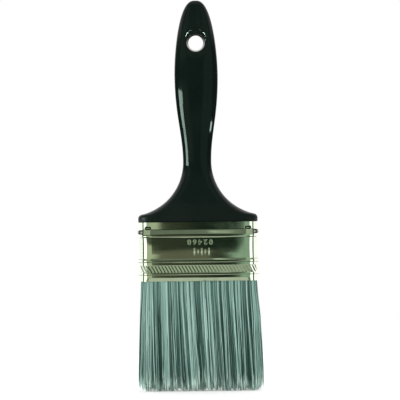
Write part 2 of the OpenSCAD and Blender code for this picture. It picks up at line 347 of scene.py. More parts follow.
class RingSweep:
    """A wall raised from a ring, one extrusion after another."""

    def __init__(self, name: str, first: Ring, around: int, flat_cuts: int) -> None:
        """Adds the first ring.

        Args:
            name: Name of the new piece.
            first: The lowest ring.
            around: Points round the two rounded ends together, an even number.
            flat_cuts: Points along each flat.
        """
        step = math.pi / around
        bpy.ops.mesh.primitive_circle_add(
            vertices=around, radius=1.0, location=(0, 0, first.z), rotation=(0, 0, step)
        )
        self.piece = bpy.context.object
        self.piece.name = name
        self.piece.data.name = name
        settle(self.piece)
        bpy.ops.object.mode_set(mode="EDIT")
        bpy.ops.mesh.select_all(action="SELECT")
        bpy.ops.transform.resize(
            value=(first.edge, first.deep / math.cos(step), 1), center_override=(0, 0, first.z)
        )
        self.last = first
        self.margin = math.sin(step) / 2
        self.fresh = list(range(around))
        for side in (-1, 1):
            self._choose(side)
            bpy.ops.transform.translate(value=(side * first.centre, 0, 0))
        self._choose()
        if flat_cuts:
            self._cut_flats(flat_cuts)

    def _choose(self, side: int = 0, reach: float = 0.0) -> None:
        """Selects all the newest ring's points, or those past a reach on one side.

        Args:
            side: Side across the brush, -1 or 1, or 0 for all the points.
            reach: Distance across that the points are past.
        """
        shape = bmesh.from_edit_mesh(self.piece.data)
        shape.verts.ensure_lookup_table()
        for part in (*shape.faces, *shape.edges, *shape.verts):
            part.select = False
        for index in self.fresh:
            point = shape.verts[index]
            if not side or side * point.co.x > reach:
                point.select_set(True)
        shape.select_flush_mode()
        bmesh.update_edit_mesh(self.piece.data)

    def _cut_flats(self, cuts: int) -> None:
        """Puts points along both flats of the first ring.

        Args:
            cuts: Number of points along each flat.
        """
        shape = bmesh.from_edit_mesh(self.piece.data)
        for edge in shape.edges:
            edge.select_set(False)
        for edge in shape.edges:
            a, b = edge.verts
            if a.co.x * b.co.x < 0:
                edge.select_set(True)
        bmesh.update_edit_mesh(self.piece.data)
        bpy.ops.mesh.subdivide(number_cuts=cuts)
        shape = bmesh.from_edit_mesh(self.piece.data)
        shape.verts.index_update()
        self.fresh = [p.index for p in shape.verts]
        self._choose()

    def rise(self, ring: Ring) -> None:
        """Extrudes the newest ring up to another, or level with it for a step in or out.

        Args:
            ring: Ring to reach.
        """
        old = self.last
        bpy.ops.mesh.extrude_region_move(TRANSFORM_OT_translate={"value": (0, 0, ring.z - old.z)})
        shape = bmesh.from_edit_mesh(self.piece.data)
        shape.verts.index_update()
        self.fresh = [p.index for p in shape.verts if p.select]
        middle = (0, 0, ring.z)
        if ring.deep != old.deep:
            bpy.ops.transform.resize(value=(1, ring.deep / old.deep, 1), center_override=middle)
        if ring.edge != old.edge or ring.centre != old.centre:
            for side in (-1, 1):
                self._choose(side, old.centre + old.edge * self.margin)
                bpy.ops.transform.resize(
                    value=(ring.edge / old.edge, 1, 1),
                    center_override=(side * old.centre, 0, ring.z),
                )
                if ring.centre != old.centre:
                    shift = side * (ring.centre - old.centre)
                    bpy.ops.transform.translate(value=(shift, 0, 0))
            self._choose()
        self.last = ring

    def lid(self) -> None:
        """Closes the newest ring with a face."""
        self._choose()
        bpy.ops.mesh.edge_face_add()


def raised(
    name: str, rings: Sequence[Ring], around: int, flat_cuts: int = 0, closed: bool = True
) -> Object:
    """Raises a piece through a stack of rings.

    Args:
        name: Name of the piece.
        rings: The rings from the lowest up.
        around: Points round the rounded ends of a ring.
        flat_cuts: Points along each flat.
        closed: Whether both ends get a face.

    Returns:
        The piece, with its faces outwards.
    """
    sweep = RingSweep(name, rings[0], around, flat_cuts)
    if closed:
        sweep.lid()
    for ring in rings[1:]:
        sweep.rise(ring)
    if closed:
        sweep.lid()
    bpy.ops.object.mode_set(mode="OBJECT")
    clean(sweep.piece)
    return sweep.piece


# Finishes


class Shade:
    """A shader tree under construction."""

    def __init__(self, tree: bpy.types.NodeTree) -> None:
        """Starts from an empty tree."""
        self.tree = tree
        tree.nodes.clear()

    def put(self, socket: Socket, value: Input) -> None:
        """Links a socket's value, or sets it.

        Args:
            socket: Socket to feed.
            value: A node's output to link, or a plain value to set.
        """
        if isinstance(value, Socket):
            self.tree.links.new(value, socket)
        else:
            socket.default_value = value

    def node(self, kind: str, inputs: Optional[Dict[Any, Input]] = None, **traits: Any) -> Any:
        """Adds a node.

        Args:
            kind: Node type without its common prefix.
            inputs: Values or links by the input's name or number.
            traits: Settings of the node.

        Returns:
            The node's outputs.
        """
        made = self.tree.nodes.new("ShaderNode" + kind)
        for trait, value in traits.items():
            setattr(made, trait, value)
        for key, value in (inputs or {}).items():
            self.put(made.inputs[key], value)
        return made.outputs

    def group(self, name: str, inputs: Dict[Any, Input]) -> Any:
        """Places a shared node group and gives its outputs."""
        return self.node("Group", inputs, node_tree=bpy.data.node_groups[name])

    def here(self) -> Socket:
        """Place on the object."""
        return self.node("TexCoord")["Object"]

    def sums(self, operation: str, *values: Input, clamp: bool = False) -> Socket:
        """Result of a Math node."""
        return self.node("Math", dict(enumerate(values)), operation=operation, use_clamp=clamp)[0]

    def times(self, *values: Input) -> Socket:
        """Product of values."""
        return reduce(lambda a, b: self.sums("MULTIPLY", a, b), values)

    def spread(self, value: Input, low: float, high: float, a: float = 0, b: float = 1) -> Socket:
        """Smooth change from a to b while a value goes from low to high."""
        ends = {0: value, 1: low, 2: high, 3: a, 4: b}
        return self.node("MapRange", ends, interpolation_type="SMOOTHSTEP")[0]

    def blend(self, share: Input, a: Input, b: Input) -> Socket:
        """Mix of two colours."""
        first, second = (c if isinstance(c, Socket) else (*c, 1.0) for c in (a, b))
        return self.node("Mix", {0: share, 6: first, 7: second}, data_type="RGBA")[2]

    def noise(self, place: Socket, scale: Input, detail: float = 2.0) -> Socket:
        """Noise over a place, of a scale and a detail."""
        return self.node("TexNoise", {"Vector": place, "Scale": scale, "Detail": detail})[0]

    def bump(self, strength: float, depth: float, height: Socket, **under: Socket) -> Socket:
        """Normal of a surface with small heights, over another normal if one is given."""
        inputs = {"Strength": strength, "Distance": depth, "Height": height, **under}
        return self.node("Bump", inputs)[0]

    def by_ray(self, kind: str, others: Any, those: Any) -> Any:
        """Picks between the first outputs of two shaders by the kind of ray."""
        path = self.node("LightPath")
        return self.node("MixShader", {0: path[f"Is {kind} Ray"], 1: others[0], 2: those[0]})


def new_group(
    name: str, inputs: Sequence[Tuple[str, str, Any]], outputs: Sequence[Tuple[str, str]]
) -> Tuple[Shade, Any, Any]:
    """Starts a shared node group.

    Args:
        name: Name of the group.
        inputs: Name, kind and usual value of each input.
        outputs: Name and kind of each output.

    Returns:
        The tree, the values that it is given and the sockets of its results.
    """
    tree = bpy.data.node_groups.new(name, "ShaderNodeTree")
    for label, kind, usual in inputs:
        made = tree.interface.new_socket(label, in_out="INPUT", socket_type="NodeSocket" + kind)
        made.default_value = usual
    for label, kind in outputs:
        tree.interface.new_socket(label, in_out="OUTPUT", socket_type="NodeSocket" + kind)
    shade = Shade(tree)
    given, out = tree.nodes.new("NodeGroupInput"), tree.nodes.new("NodeGroupOutput")
    return shade, given.outputs, out.inputs


def new_material(name: str) -> Tuple[Material, Shade]:
    """Starts a material and gives its empty tree with it.

    Args:
        name: Name of the material.

    Returns:
        The material, and its tree for the nodes.
    """
    made = bpy.data.materials.new(name)
    made.use_nodes = True
    return made, Shade(made.node_tree)


class SharedEffects:
    """Node groups that several finishes use."""

    HANDLING = "handling_marks"
    GRAIN = "long_grain"
    SMUDGE_SPAN = (0.35, 0.7)
    SCRATCH_TURN = (0.3, 0.5, 0.2)
    SCRATCH_DRAW = (900, 900, 40)
    SCRATCH_SPAN = (0.66, 0.74)
    FINE = 2600.0

    @classmethod
    def build(cls) -> None:
        """Builds every shared group."""
        cls._handling()
        cls._grain()

    @classmethod
    def _handling(cls) -> None:
        """Smudges and hairline scratches of a handled hard surface."""
        shade, given, out = new_group(
            cls.HANDLING,
            (("Scale", "Float", 60.0), ("Scratches", "Float", 0.5)),
            (("Smudge", "Float"), ("Scratch", "Float"), ("Grain", "Float")),
        )
        place = shade.here()
        shade.put(out[0], shade.spread(shade.noise(place, given[0], 5.0), *cls.SMUDGE_SPAN))
        turned = shade.node("Mapping", {"Vector": place, "Rotation": cls.SCRATCH_TURN})[0]
        drawn = shade.node("Mapping", {"Vector": turned, "Scale": cls.SCRATCH_DRAW})[0]
        thin = shade.spread(shade.noise(drawn, 1.0), *cls.SCRATCH_SPAN)
        shade.put(out[1], shade.times(thin, given[1]))
        shade.put(out[2], shade.noise(place, cls.FINE))

    @classmethod
    def _grain(cls) -> None:
        """Streaks drawn out along one direction, as in wood or drawn filament."""
        shade, given, out = new_group(
            cls.GRAIN,
            [(axis, "Float", 1.0) for axis in "XYZ"],
            (("Grain", "Float"), ("Broad", "Float")),
        )
        size = shade.node("CombineXYZ", {k: given[k] for k in range(3)})[0]
        drawn = shade.node("VectorMath", {0: shade.here(), 1: size}, operation="MULTIPLY")[0]
        shade.put(out[0], shade.noise(drawn, 1.0, 4.0))
        shade.put(out[1], shade.noise(drawn, 0.2))


class Finish:
    """A procedural finish."""

    name: str

    def look(self, shade: Shade) -> Dict[str, Input]:
        """Adds the nodes of the finish and gives the shader's inputs."""
        raise NotImplementedError

    def material(self) -> Material:
        """Builds the material.

        Returns:
            The material.
        """
        made, shade = new_material(self.name)
        shader = shade.node("BsdfPrincipled", self.look(shade))
        shade.node("OutputMaterial", {"Surface": shader[0]})
        return made


@dataclass(frozen=True)
class HandledFinish(Finish):
    """A hard finish that shows handling.

    Attributes:
        name: Name of the material.
        colour: Colour where it is clean.
        worn: Colour where it is smudged.
        gloss: Roughness where it is clean.
        dull: Roughness where it is smudged.
        smudges: Scale of the smudges.
        scratches: Share of the scratches.
        scratch_dull: Roughness that a scratch adds.
    """

    name: str
    colour: Triple
    worn: Triple
    gloss: float
    dull: float
    smudges: float
    scratches: float
    scratch_dull: float

    def handled(self, shade: Shade) -> Tuple[Socket, Socket]:
        """Colour and roughness with the marks of handling.

        Args:
            shade: Tree of the material.

        Returns:
            The colour and the roughness.
        """
        inputs = {"Scale": self.smudges, "Scratches": self.scratches}
        marks = shade.group(SharedEffects.HANDLING, inputs)
        colour = shade.blend(marks["Smudge"], self.colour, self.worn)
        rough = shade.spread(marks["Smudge"], 0.0, 1.0, self.gloss, self.dull)
        return colour, shade.sums("ADD", rough, shade.times(marks["Scratch"], self.scratch_dull))


@dataclass(frozen=True)
class MouldedPlastic(HandledFinish):
    """Glossy black plastic from a two-part mould, duller low on the shoulder."""

    name: str = "moulded_plastic"
    colour: Triple = (0.003, 0.0066, 0.0054)
    worn: Triple = (0.0038, 0.0078, 0.0064)
    gloss: float = 0.05
    dull: float = 0.085
    smudges: float = 70.0
    scratches: float = 0.35
    scratch_dull: float = 0.1
    specular: float = 0.15
    parting_half: float = 0.00012
    low_z: Pair = (0.115, 0.124)
    low_dull: float = 0.3
    skin: Pair = (420.0, 0.04)
    skin_bump: Pair = (0.4, 0.00006)

    def look(self, shade: Shade) -> Dict[str, Input]:
        """Adds the parting line on the narrow sides and the skin of the mould.

        Args:
            shade: Tree of the material.

        Returns:
            The shader's inputs, by name.
        """
        colour, rough = self.handled(shade)
        place = shade.here()
        parts = shade.node("SeparateXYZ", {0: place})
        rough = shade.sums("ADD", rough, shade.spread(parts[2], *self.low_z, self.low_dull, 0.0))
        away = shade.sums("ABSOLUTE", parts[1])
        ridge = shade.spread(away, self.parting_half / 2, self.parting_half, 1.0, 0.0)
        fine, share = self.skin
        height = shade.sums("MULTIPLY_ADD", shade.noise(place, fine, 1.0), share, ridge)
        return {
            "Base Color": colour,
            "Roughness": rough,
            "Normal": shade.bump(*self.skin_bump, height),
            "Specular IOR Level": self.specular,
        }


@dataclass(frozen=True)
class PlatedSheet(HandledFinish):
    """Bright nickel plate on thin rolled steel, which never lies quite flat."""

    name: str = "plated_sheet"
    colour: Triple = (0.8, 0.85, 0.74)
    worn: Triple = (0.74, 0.79, 0.67)
    gloss: float = 0.04
    dull: float = 0.065
    smudges: float = 110.0
    scratches: float = 0.15
    scratch_dull: float = 0.2
    waver: float = 0.0003
    waver_scale: float = 38.0
    rolling: Triple = (60.0, 60.0, 2600.0)
    rolling_bump: Pair = (0.12, 0.00002)

    def look(self, shade: Shade) -> Dict[str, Input]:
        """Adds the sheet's slight waves and the fine lines of its rolling.

        Args:
            shade: Tree of the material.

        Returns:
            The shader's inputs, by name.
        """
        colour, rough = self.handled(shade)
        waves = shade.noise(shade.here(), self.waver_scale, 0.0)
        warp = shade.bump(0.5, self.waver, waves)
        lines = shade.group(SharedEffects.GRAIN, dict(zip("XYZ", self.rolling)))
        bump = shade.bump(*self.rolling_bump, lines["Grain"], Normal=warp)
        return {"Base Color": colour, "Roughness": rough, "Metallic": 1.0, "Normal": bump}


@dataclass(frozen=True)
class FilamentFinish(Finish):
    """Drawn synthetic filament, paler at its tip, with painted shade over its lower length."""

    name: str
    deep: Triple
    light: Triple
    tip: Triple
    tip_start: float
    tip_share: float
    root: Triple = (0.15, 0.265, 0.225)
    root_share: float = 0.24
    root_span: Pair = (0.05, 0.4)
    # Share and span along the strand of the painted shade toward the deep colour.
    painted_shade_share: float = 0.35
    painted_shade_span: Pair = (0.5, 0.9)
    drawn: Triple = (900.0, 900.0, 60.0)
    stray: float = 0.5
    rough: float = 0.42
    rough_spread: float = 0.2
    specular: float = 0.14

    def look(self, shade: Shade) -> Dict[str, Input]:
        """Colours each strand by its own tone, and along its length: painted shade darkens its lower
        part and its tip turns paler.

        Args:
            shade: Tree of the material.

        Returns:
            The shader's inputs, by name.
        """
        tone = shade.node("Attribute", attribute_name="tone")["Fac"]
        along = shade.node("Attribute", attribute_name="along")["Fac"]
        grain = shade.group(SharedEffects.GRAIN, dict(zip("XYZ", self.drawn)))
        stray = shade.sums("MULTIPLY_ADD", grain["Grain"], self.stray, -self.stray / 2)
        share = shade.sums("ADD", tone, stray, clamp=True)
        colour = shade.blend(share, self.deep, self.light)
        root = shade.spread(along, *self.root_span, self.root_share, 0.0)
        colour = shade.blend(root, colour, self.root)
        # Painted shade: the lower part of each strand is blended toward its deep colour.
        low = shade.spread(along, *self.painted_shade_span, 0.0, self.painted_shade_share)
        colour = shade.blend(low, colour, self.deep)
        fade = shade.spread(along, self.tip_start, 1.0, 0.0, self.tip_share)
        colour = shade.blend(fade, colour, self.tip)
        low_rough = self.rough - self.rough_spread / 2
        return {
            "Base Color": colour,
            "Roughness": shade.sums("MULTIPLY_ADD", grain["Broad"], self.rough_spread, low_rough),
            "Specular IOR Level": self.specular,
        }


@dataclass(frozen=True)
class CastResin(Finish):
    """Amber resin, poured and cured with a few bubbles."""

    name: str = "cast_resin"
    colour: Triple = (0.34, 0.22, 0.07)
    deep: Triple = (0.2, 0.11, 0.03)
    clouds: float = 160.0
    scratches: float = 0.2
    rough: Pair = (0.3, 0.45)
    bubbles: float = 700.0
    bubble_span: Pair = (0.1, 0.3)
    bubble_bump: Pair = (0.4, 0.0002)

    def look(self, shade: Shade) -> Dict[str, Input]:
        """Adds cloudy colour and bubbles.

        Args:
            shade: Tree of the material.

        Returns:
            The shader's inputs, by name.
        """
        inputs = {"Scale": self.clouds, "Scratches": self.scratches}
        marks = shade.group(SharedEffects.HANDLING, inputs)
        cells = shade.node("TexVoronoi", {"Vector": shade.here(), "Scale": self.bubbles})
        return {
            "Base Color": shade.blend(marks["Smudge"], self.colour, self.deep),
            "Roughness": shade.spread(marks["Grain"], *NOISE_SPAN, *self.rough),
            "Normal": shade.bump(
                *self.bubble_bump, shade.spread(cells["Distance"], *self.bubble_span)
            ),
        }


@dataclass(frozen=True)
class SawnWood(Finish):
    """Plain sawn strip wood with its grain along the brush's width."""

    name: str = "sawn_wood"
    colour: Triple = (0.56, 0.36, 0.17)
    late: Triple = (0.36, 0.2, 0.08)
    grain: Triple = (40.0, 900.0, 900.0)
    late_span: Pair = (0.4, 0.62)
    rough: Pair = (0.6, 0.8)
    grain_bump: Pair = (0.5, 0.0001)

    def look(self, shade: Shade) -> Dict[str, Input]:
        """Adds early and late wood.

        Args:
            shade: Tree of the material.

        Returns:
            The shader's inputs, by name.
        """
        grain = shade.group(SharedEffects.GRAIN, dict(zip("XYZ", self.grain)))
        share = shade.spread(grain["Grain"], *self.late_span)
        return {
            "Base Color": shade.blend(share, self.colour, self.late),
            "Roughness": shade.spread(grain["Broad"], *NOISE_SPAN, *self.rough),
            "Normal": shade.bump(*self.grain_bump, grain["Grain"]),
        }


FILAMENTS = {
    Tone.DARK: FilamentFinish(
        "dark_filament", (0.021, 0.055, 0.045), (0.092, 0.188, 0.154), (0.36, 0.55, 0.48), 0.9, 0.6
    ),
    Tone.PALE: FilamentFinish(
        "pale_filament", (0.25, 0.43, 0.37), (0.43, 0.61, 0.545), (0.76, 0.95, 0.87), 0.86, 0.97
    ),
}


# Sub-assemblies


@dataclass(frozen=True)
class Plan:
    """The ferrule's plan: two flats joined by two half rounds."""

    core: float = 0.0301
    end_r: float = 0.008

    @property
    def flat(self) -> float:
        """Length of a flat."""
        return 2.0 * self.core

    @property
    def trip(self) -> float:
        """Length of the way round."""
        return 2.0 * (self.flat + math.pi * self.end_r)

    def way_to(self, x: float, back: bool = False) -> float:
        """Length along the plan, from the front flat's left end, to a place front or back.

        Args:
            x: Place across the brush.
            back: Whether it is on the back.

        Returns:
            The length.
        """
        past = abs(x) - self.core
        way = abs(x) if past < 0 else self.core + self.end_r * math.asin(past / self.end_r)
        way = self.core + math.copysign(way, x)
        return self.trip - self.end_r * math.pi - way if back else way

    def wrap(self, flat: Array) -> Array:
        """Lays points round the plan.

        Args:
            flat: Rows of length along the plan, distance out from its face, and height.

        Returns:
            Rows of places in the brush's frame.
        """
        half = self.trip / 2.0
        way = np.mod(flat[:, 0], self.trip)
        sign = np.where(way >= half, -1.0, 1.0)
        way = np.mod(way, half)
        out = self.end_r + flat[:, 1]
        angle = np.maximum(way - self.flat, 0.0) / self.end_r - QUARTER
        on_flat = way < self.flat
        x = np.where(on_flat, way - self.core, self.core + out * np.cos(angle))
        y = np.where(on_flat, -out, out * np.sin(angle))
        return np.column_stack((sign * x, sign * y, flat[:, 2]))


@dataclass(frozen=True)
class Stakes:
    """The four long round dents that hold the ferrule to the handle."""

    plan: Plan = Plan()
    x: float = 0.0317
    z: float = 0.1033
    half: float = 0.0021
    deep: float = 0.001
    around: int = 28
    flat_cuts: int = 3

    def shapes(self, name: str, rings: Iterable[Pair], wall: float = 0.0) -> List[Object]:
        """Models a long round shape that points out of the plan's face, and copies it to each dent.

        Args:
            name: Name of the shape.
            rings: Growth of the dent's outline, and distance out, of each ring.
            wall: Thickness of an open shape's wall; a shape without one is closed.

        Returns:
            The four copies, laid round the plan.
        """
        stack = []
        for grow, out in rings:
            stack.append(Ring(out, self.half + grow, self.deep + grow, self.deep + grow))
        shape = raised(name, stack, self.around, self.flat_cuts, closed=not wall)
        places = points_of(shape)
        set_points(shape, np.column_stack((places[:, 0], places[:, 2], self.z - places[:, 1])))
        if wall:
            thicken(shape, wall, 1.0)
        copies = []
        for back in (False, True):
            for side in (-1, 1):
                made = copy_of(shape, f"{shape.name}_{len(copies)}")
                way = self.plan.way_to(side * self.x, back)
                set_points(made, self.plan.wrap(points_of(made) + (way, 0.0, 0.0)))
                clean(made)
                copies.append(made)
        remove(shape)
        return copies

    def punch(self, piece: Object, name: str, rings: Iterable[Pair]) -> None:
        """Cuts the four dents into a piece."""
        for cutter in self.shapes(name, rings):
            cut(piece, cutter)


@dataclass(frozen=True)
class Handle:
    """The moulded handle with its shoulder, grip, hanging hole and cored tenon."""

    collar_z: float = 0.1071
    tenon_z: float = 0.0887
    tenon_half: float = 0.0376
    tenon_deep: float = 0.0075
    cores: int = 4
    core_span: float = 0.0602
    core_wall: float = 0.0024
    core_size: Pair = (0.0102, 0.009)
    core_edge: float = 0.0008
    core_over: float = 0.001
    shoulder_half: float = 0.0379
    shoulder_deep: float = 0.0078
    foot_r: float = 0.0004
    side_z: float = 0.1095
    corner_r: float = 0.0026
    flare_turn: float = math.radians(77.0)
    flare_h: float = 0.0334
    waist: Triple = (0.00895, 0.0065, 0.0054)
    belly: Triple = (0.01375, 0.0074, 0.0082)
    belly_up: float = 0.0553
    top_z: float = 0.2477
    hole_z: float = 0.2209
    hole_radii: Pair = (0.0047, 0.0058)
    hole_lip: Pair = (0.0042, 0.0021)
    lip_rim: float = 1.25
    lip_over: Pair = (0.0001, 0.003)
    stakes: Stakes = Stakes()
    notch: Tuple[Pair, Pair] = ((0.00025, -0.0024), (0.00025, 0.001))
    end_powers: Triple = (1.7, 0.39, 3.0)
    end_flat: float = 0.00007
    holds: Pair = (0.33, 0.48)
    around: int = 72
    hole_around: int = 120
    sharp: float = 40.0

    @property
    def flare_z(self) -> float:
        """Height at which the sweep to the waist starts."""
        return self.side_z + self.corner_r * math.sin(self.flare_turn)

    @property
    def waist_z(self) -> float:
        """Height of the waist."""
        return self.flare_z + self.flare_h

    @property
    def belly_z(self) -> float:
        """Height of the belly."""
        return self.waist_z + self.belly_up

    def _neck(self, half: float, z: float) -> Ring:
        """Ring between the shoulder and the waist.

        Args:
            half: The ring's half width.
            z: The ring's height.

        Returns:
            The ring.
        """
        part = float(ease((self.waist_z - z) / (self.waist_z - self.side_z)))
        deep = mix(self.waist[1], self.shoulder_deep, part)
        return Ring(z, half, deep, mix(self.waist[2], self.shoulder_deep, part))

    def _foot(self, steps: int = 3) -> Iterator[Ring]:
        """Rings of the tenon and the shoulder's rounded foot.

        Args:
            steps: Number of steps in the rounded foot.

        Returns:
            The rings, from below.
        """
        yield Ring(self.tenon_z, self.tenon_half, self.tenon_deep, self.tenon_deep)
        yield Ring(self.collar_z, self.tenon_half, self.tenon_deep, self.tenon_deep)
        for k in range(steps + 1):
            turn = QUARTER * k / steps
            inset = self.foot_r * (1 - math.sin(turn))
            z = self.collar_z + self.foot_r * (1 - math.cos(turn))
            deep = self.shoulder_deep - inset
            yield Ring(z, self.shoulder_half - inset, deep, deep)

    def _corner(self, steps: int = 8) -> Iterator[Ring]:
        """Rings of the shoulder's rounded corner.

        Args:
            steps: Number of rings.

        Returns:
            The rings, from below.
        """
        for k in range(steps):
            turn = self.flare_turn * k / steps
            half = self.shoulder_half - self.corner_r * (1 - math.cos(turn))
            yield self._neck(half, self.side_z + self.corner_r * math.sin(turn))

    def _flare(self, steps: int = 26) -> Iterator[Ring]:
        """Rings of the sweep from the shoulder to the waist.

        Args:
            steps: Number of rings.

        Returns:
            The rings, from below.
        """
        start = self.shoulder_half - self.corner_r * (1 - math.cos(self.flare_turn))
        wide = (start - self.waist[0]) / (1 - math.cos(self.flare_turn))
        high = self.flare_h / math.sin(self.flare_turn)
        for k in range(steps):
            turn = self.flare_turn * (1 - k / steps)
            half = self.waist[0] + wide * (1 - math.cos(turn))
            yield self._neck(half, self.waist_z - high * math.sin(turn))

    def _grip(self, steps: int = 26) -> Iterator[Ring]:
        """Rings from the waist to the belly, with their heights on a Bezier curve.

        Args:
            steps: Number of rings.

        Returns:
            The rings, from below.
        """
        low = self.waist_z + self.holds[0] * self.belly_up
        high = self.belly_z - self.holds[1] * self.belly_up
        for k in range(steps):
            t = k / steps
            z = self.waist_z * (1 - t) ** 3 + 3 * low * t * (1 - t) ** 2
            z = z + 3 * high * t * t * (1 - t) + self.belly_z * t**3
            part = float(ease(t))
            yield Ring(z, *(mix(a, b, part) for a, b in zip(self.waist, self.belly)))

    def _end(self, steps: int = 34) -> Iterator[Ring]:
        """Rings from the belly to the rounded end.

        Args:
            steps: Number of rings.

        Returns:
            The rings, from below.
        """
        rise = self.top_z - self.belly_z
        for k in range(steps + 1):
            u = (1 - self.end_flat / rise) * (1 - (1 - k / steps) ** 2)
            narrow, deep = self._end_at(u)
            yield Ring(self.belly_z + rise * u, self.belly[0] * narrow, deep, self.belly[2] * narrow)

    def _end_at(self, u: Union[float, Array]) -> Tuple[Any, Any]:
        """Share of the belly's width, and half depth, at a share of the end's height."""
        narrow = (1 - u ** self.end_powers[0]) ** self.end_powers[1]
        return narrow, self.belly[1] * np.sqrt(1 - u ** self.end_powers[2])

    def _end_share(self, z: Union[float, Array]) -> Union[float, Array]:
        """Share of the end's height at a height."""
        return (z - self.belly_z) / (self.top_z - self.belly_z)

    def _face(self, x: Array, z: Array) -> Array:
        """Half depth of the end's round face at each place on it.

        Args:
            x: Places across the brush.
            z: Their heights.

        Returns:
            The half depths.
        """
        narrow, deep = self._end_at(self._end_share(z))
        past = np.maximum(np.abs(x) / narrow - self.belly[0] + self.belly[2], 0.0) / self.belly[2]
        return deep * np.sqrt(np.maximum(1 - past**2, 0.0))

    def _hole_cutter(self, steps: int = 12) -> Object:
        """Tapered bar that flares at both ends, through the handle's end.

        Args:
            steps: Number of steps in each rounded lip.

        Returns:
            The bar.
        """
        deep = float(self._end_at(self._end_share(self.hole_z))[1])
        wide, high = self.hole_lip
        rings: List[Ring] = []
        for face, start in zip((-1, 1), self.hole_radii):
            lip: List[Pair] = []
            for k in range(steps + 1):
                turn = QUARTER * k / steps
                out = start + wide * (1 - math.cos(turn))
                lip.append((out, deep - high * (1 - math.sin(turn))))
            lip += [(start + wide * self.lip_rim, deep + over) for over in self.lip_over]
            stack = [Ring(face * z, r, r, r) for r, z in lip]
            rings += stack[::-1] if face < 0 else stack
        bar = raised("hole_cutter", rings, self.hole_around)
        bar.rotation_euler = (QUARTER, 0, 0)
        bar.location = (0, 0, self.hole_z)
        settle(bar)
        places = points_of(bar)
        drop = deep - self._face(places[:, 0], places[:, 2])
        places[:, 1] -= np.sign(places[:, 1]) * drop
        set_points(bar, places)
        return bar

    def _core_cutter(self) -> Object:
        """Bars that core the tenon out from below.

        Returns:
            The bars, joined as one shape.
        """
        width = (self.core_span - (self.cores - 1) * self.core_wall) / self.cores
        deep, high = self.core_size
        bars: List[Object] = []
        for k in range(self.cores):
            x = -self.core_span / 2 + width / 2 + k * (width + self.core_wall)
            place = (x, 0, self.tenon_z + high / 2)
            size = (width, deep, high + self.core_over)
            bars.append(rounded_block(size, place, self.core_edge))
        join(bars[0], bars[1:])
        return bars[0]

    def build(self) -> Object:
        """Models the handle, undressed.

        Returns:
            The handle.
        """
        rings = [*self._foot(), *self._corner(), *self._flare(), *self._grip(), *self._end()]
        piece = raised(GRIP, rings, self.around)
        cut(piece, self._core_cutter())
        cut(piece, self._hole_cutter())
        self.stakes.punch(piece, "notch", self.notch)
        clean(piece)
        smooth(piece, self.sharp)
        return piece

    def make(self, finish: MouldedPlastic) -> None:
        """Builds and dresses the handle, and sets it on the brush.

        Args:
            finish: Finish of the handle.
        """
        piece = self.build()
        dress(piece, finish.material())
        hand_over(piece, "handle_plastic", "handle")


@dataclass(frozen=True)
class Bead:
    """A bead rolled into the ferrule.

    Attributes:
        foot: Height over the mouth at which it starts.
        crest: Heights over the mouth between which it stands out fully.
        top: Height over the mouth at which it ends.
        rise: How far it stands out.
        creases: Whether its foot and its top meet the sheet in a crease.
        guard: Breadth of the sheet beside it that stays flat.
        tight: Share of a flank at which a crease has turned.
        crown: Rise of the crest's middle, as a share of its height.
    """

    foot: float
    crest: Pair
    top: float
    rise: float
    creases: Tuple[bool, bool] = (False, False)
    guard: float = 0.00006
    tight: float = 0.03
    crown: float = 0.02

    def _flank(self, start: float, end: float, creased: bool, steps: int) -> List[Pair]:
        """Heights and distances out of a flank, from its start on the sheet to the crest.

        Args:
            start: Height where the flank leaves the sheet.
            end: Height where it meets the crest.
            creased: Whether it leaves the sheet in a crease.
            steps: Number of steps in it.

        Returns:
            Pairs of height and distance.
        """
        flank = [(start - math.copysign(self.guard, end - start), 0.0)]
        shares = [k / steps for k in range(steps + 1)]
        if creased:
            shares.insert(1, self.tight)
        for part in shares:
            out = math.sin(QUARTER * part) if creased else (1 - math.cos(math.pi * part)) / 2
            flank.append((mix(start, end, part), self.rise * out))
        return flank

    def profile(self, steps: int = 8) -> Iterator[Pair]:
        """Heights over the mouth and distances out, from the foot up.

        Args:
            steps: Number of steps in each flank.

        Returns:
            Pairs of height and distance.
        """
        low, high = self.crest
        yield from self._flank(self.foot, low, self.creases[0], steps)
        yield (low + high) / 2, self.rise + self.crown * (high - low)
        yield from reversed(self._flank(self.top, high, self.creases[1], steps))


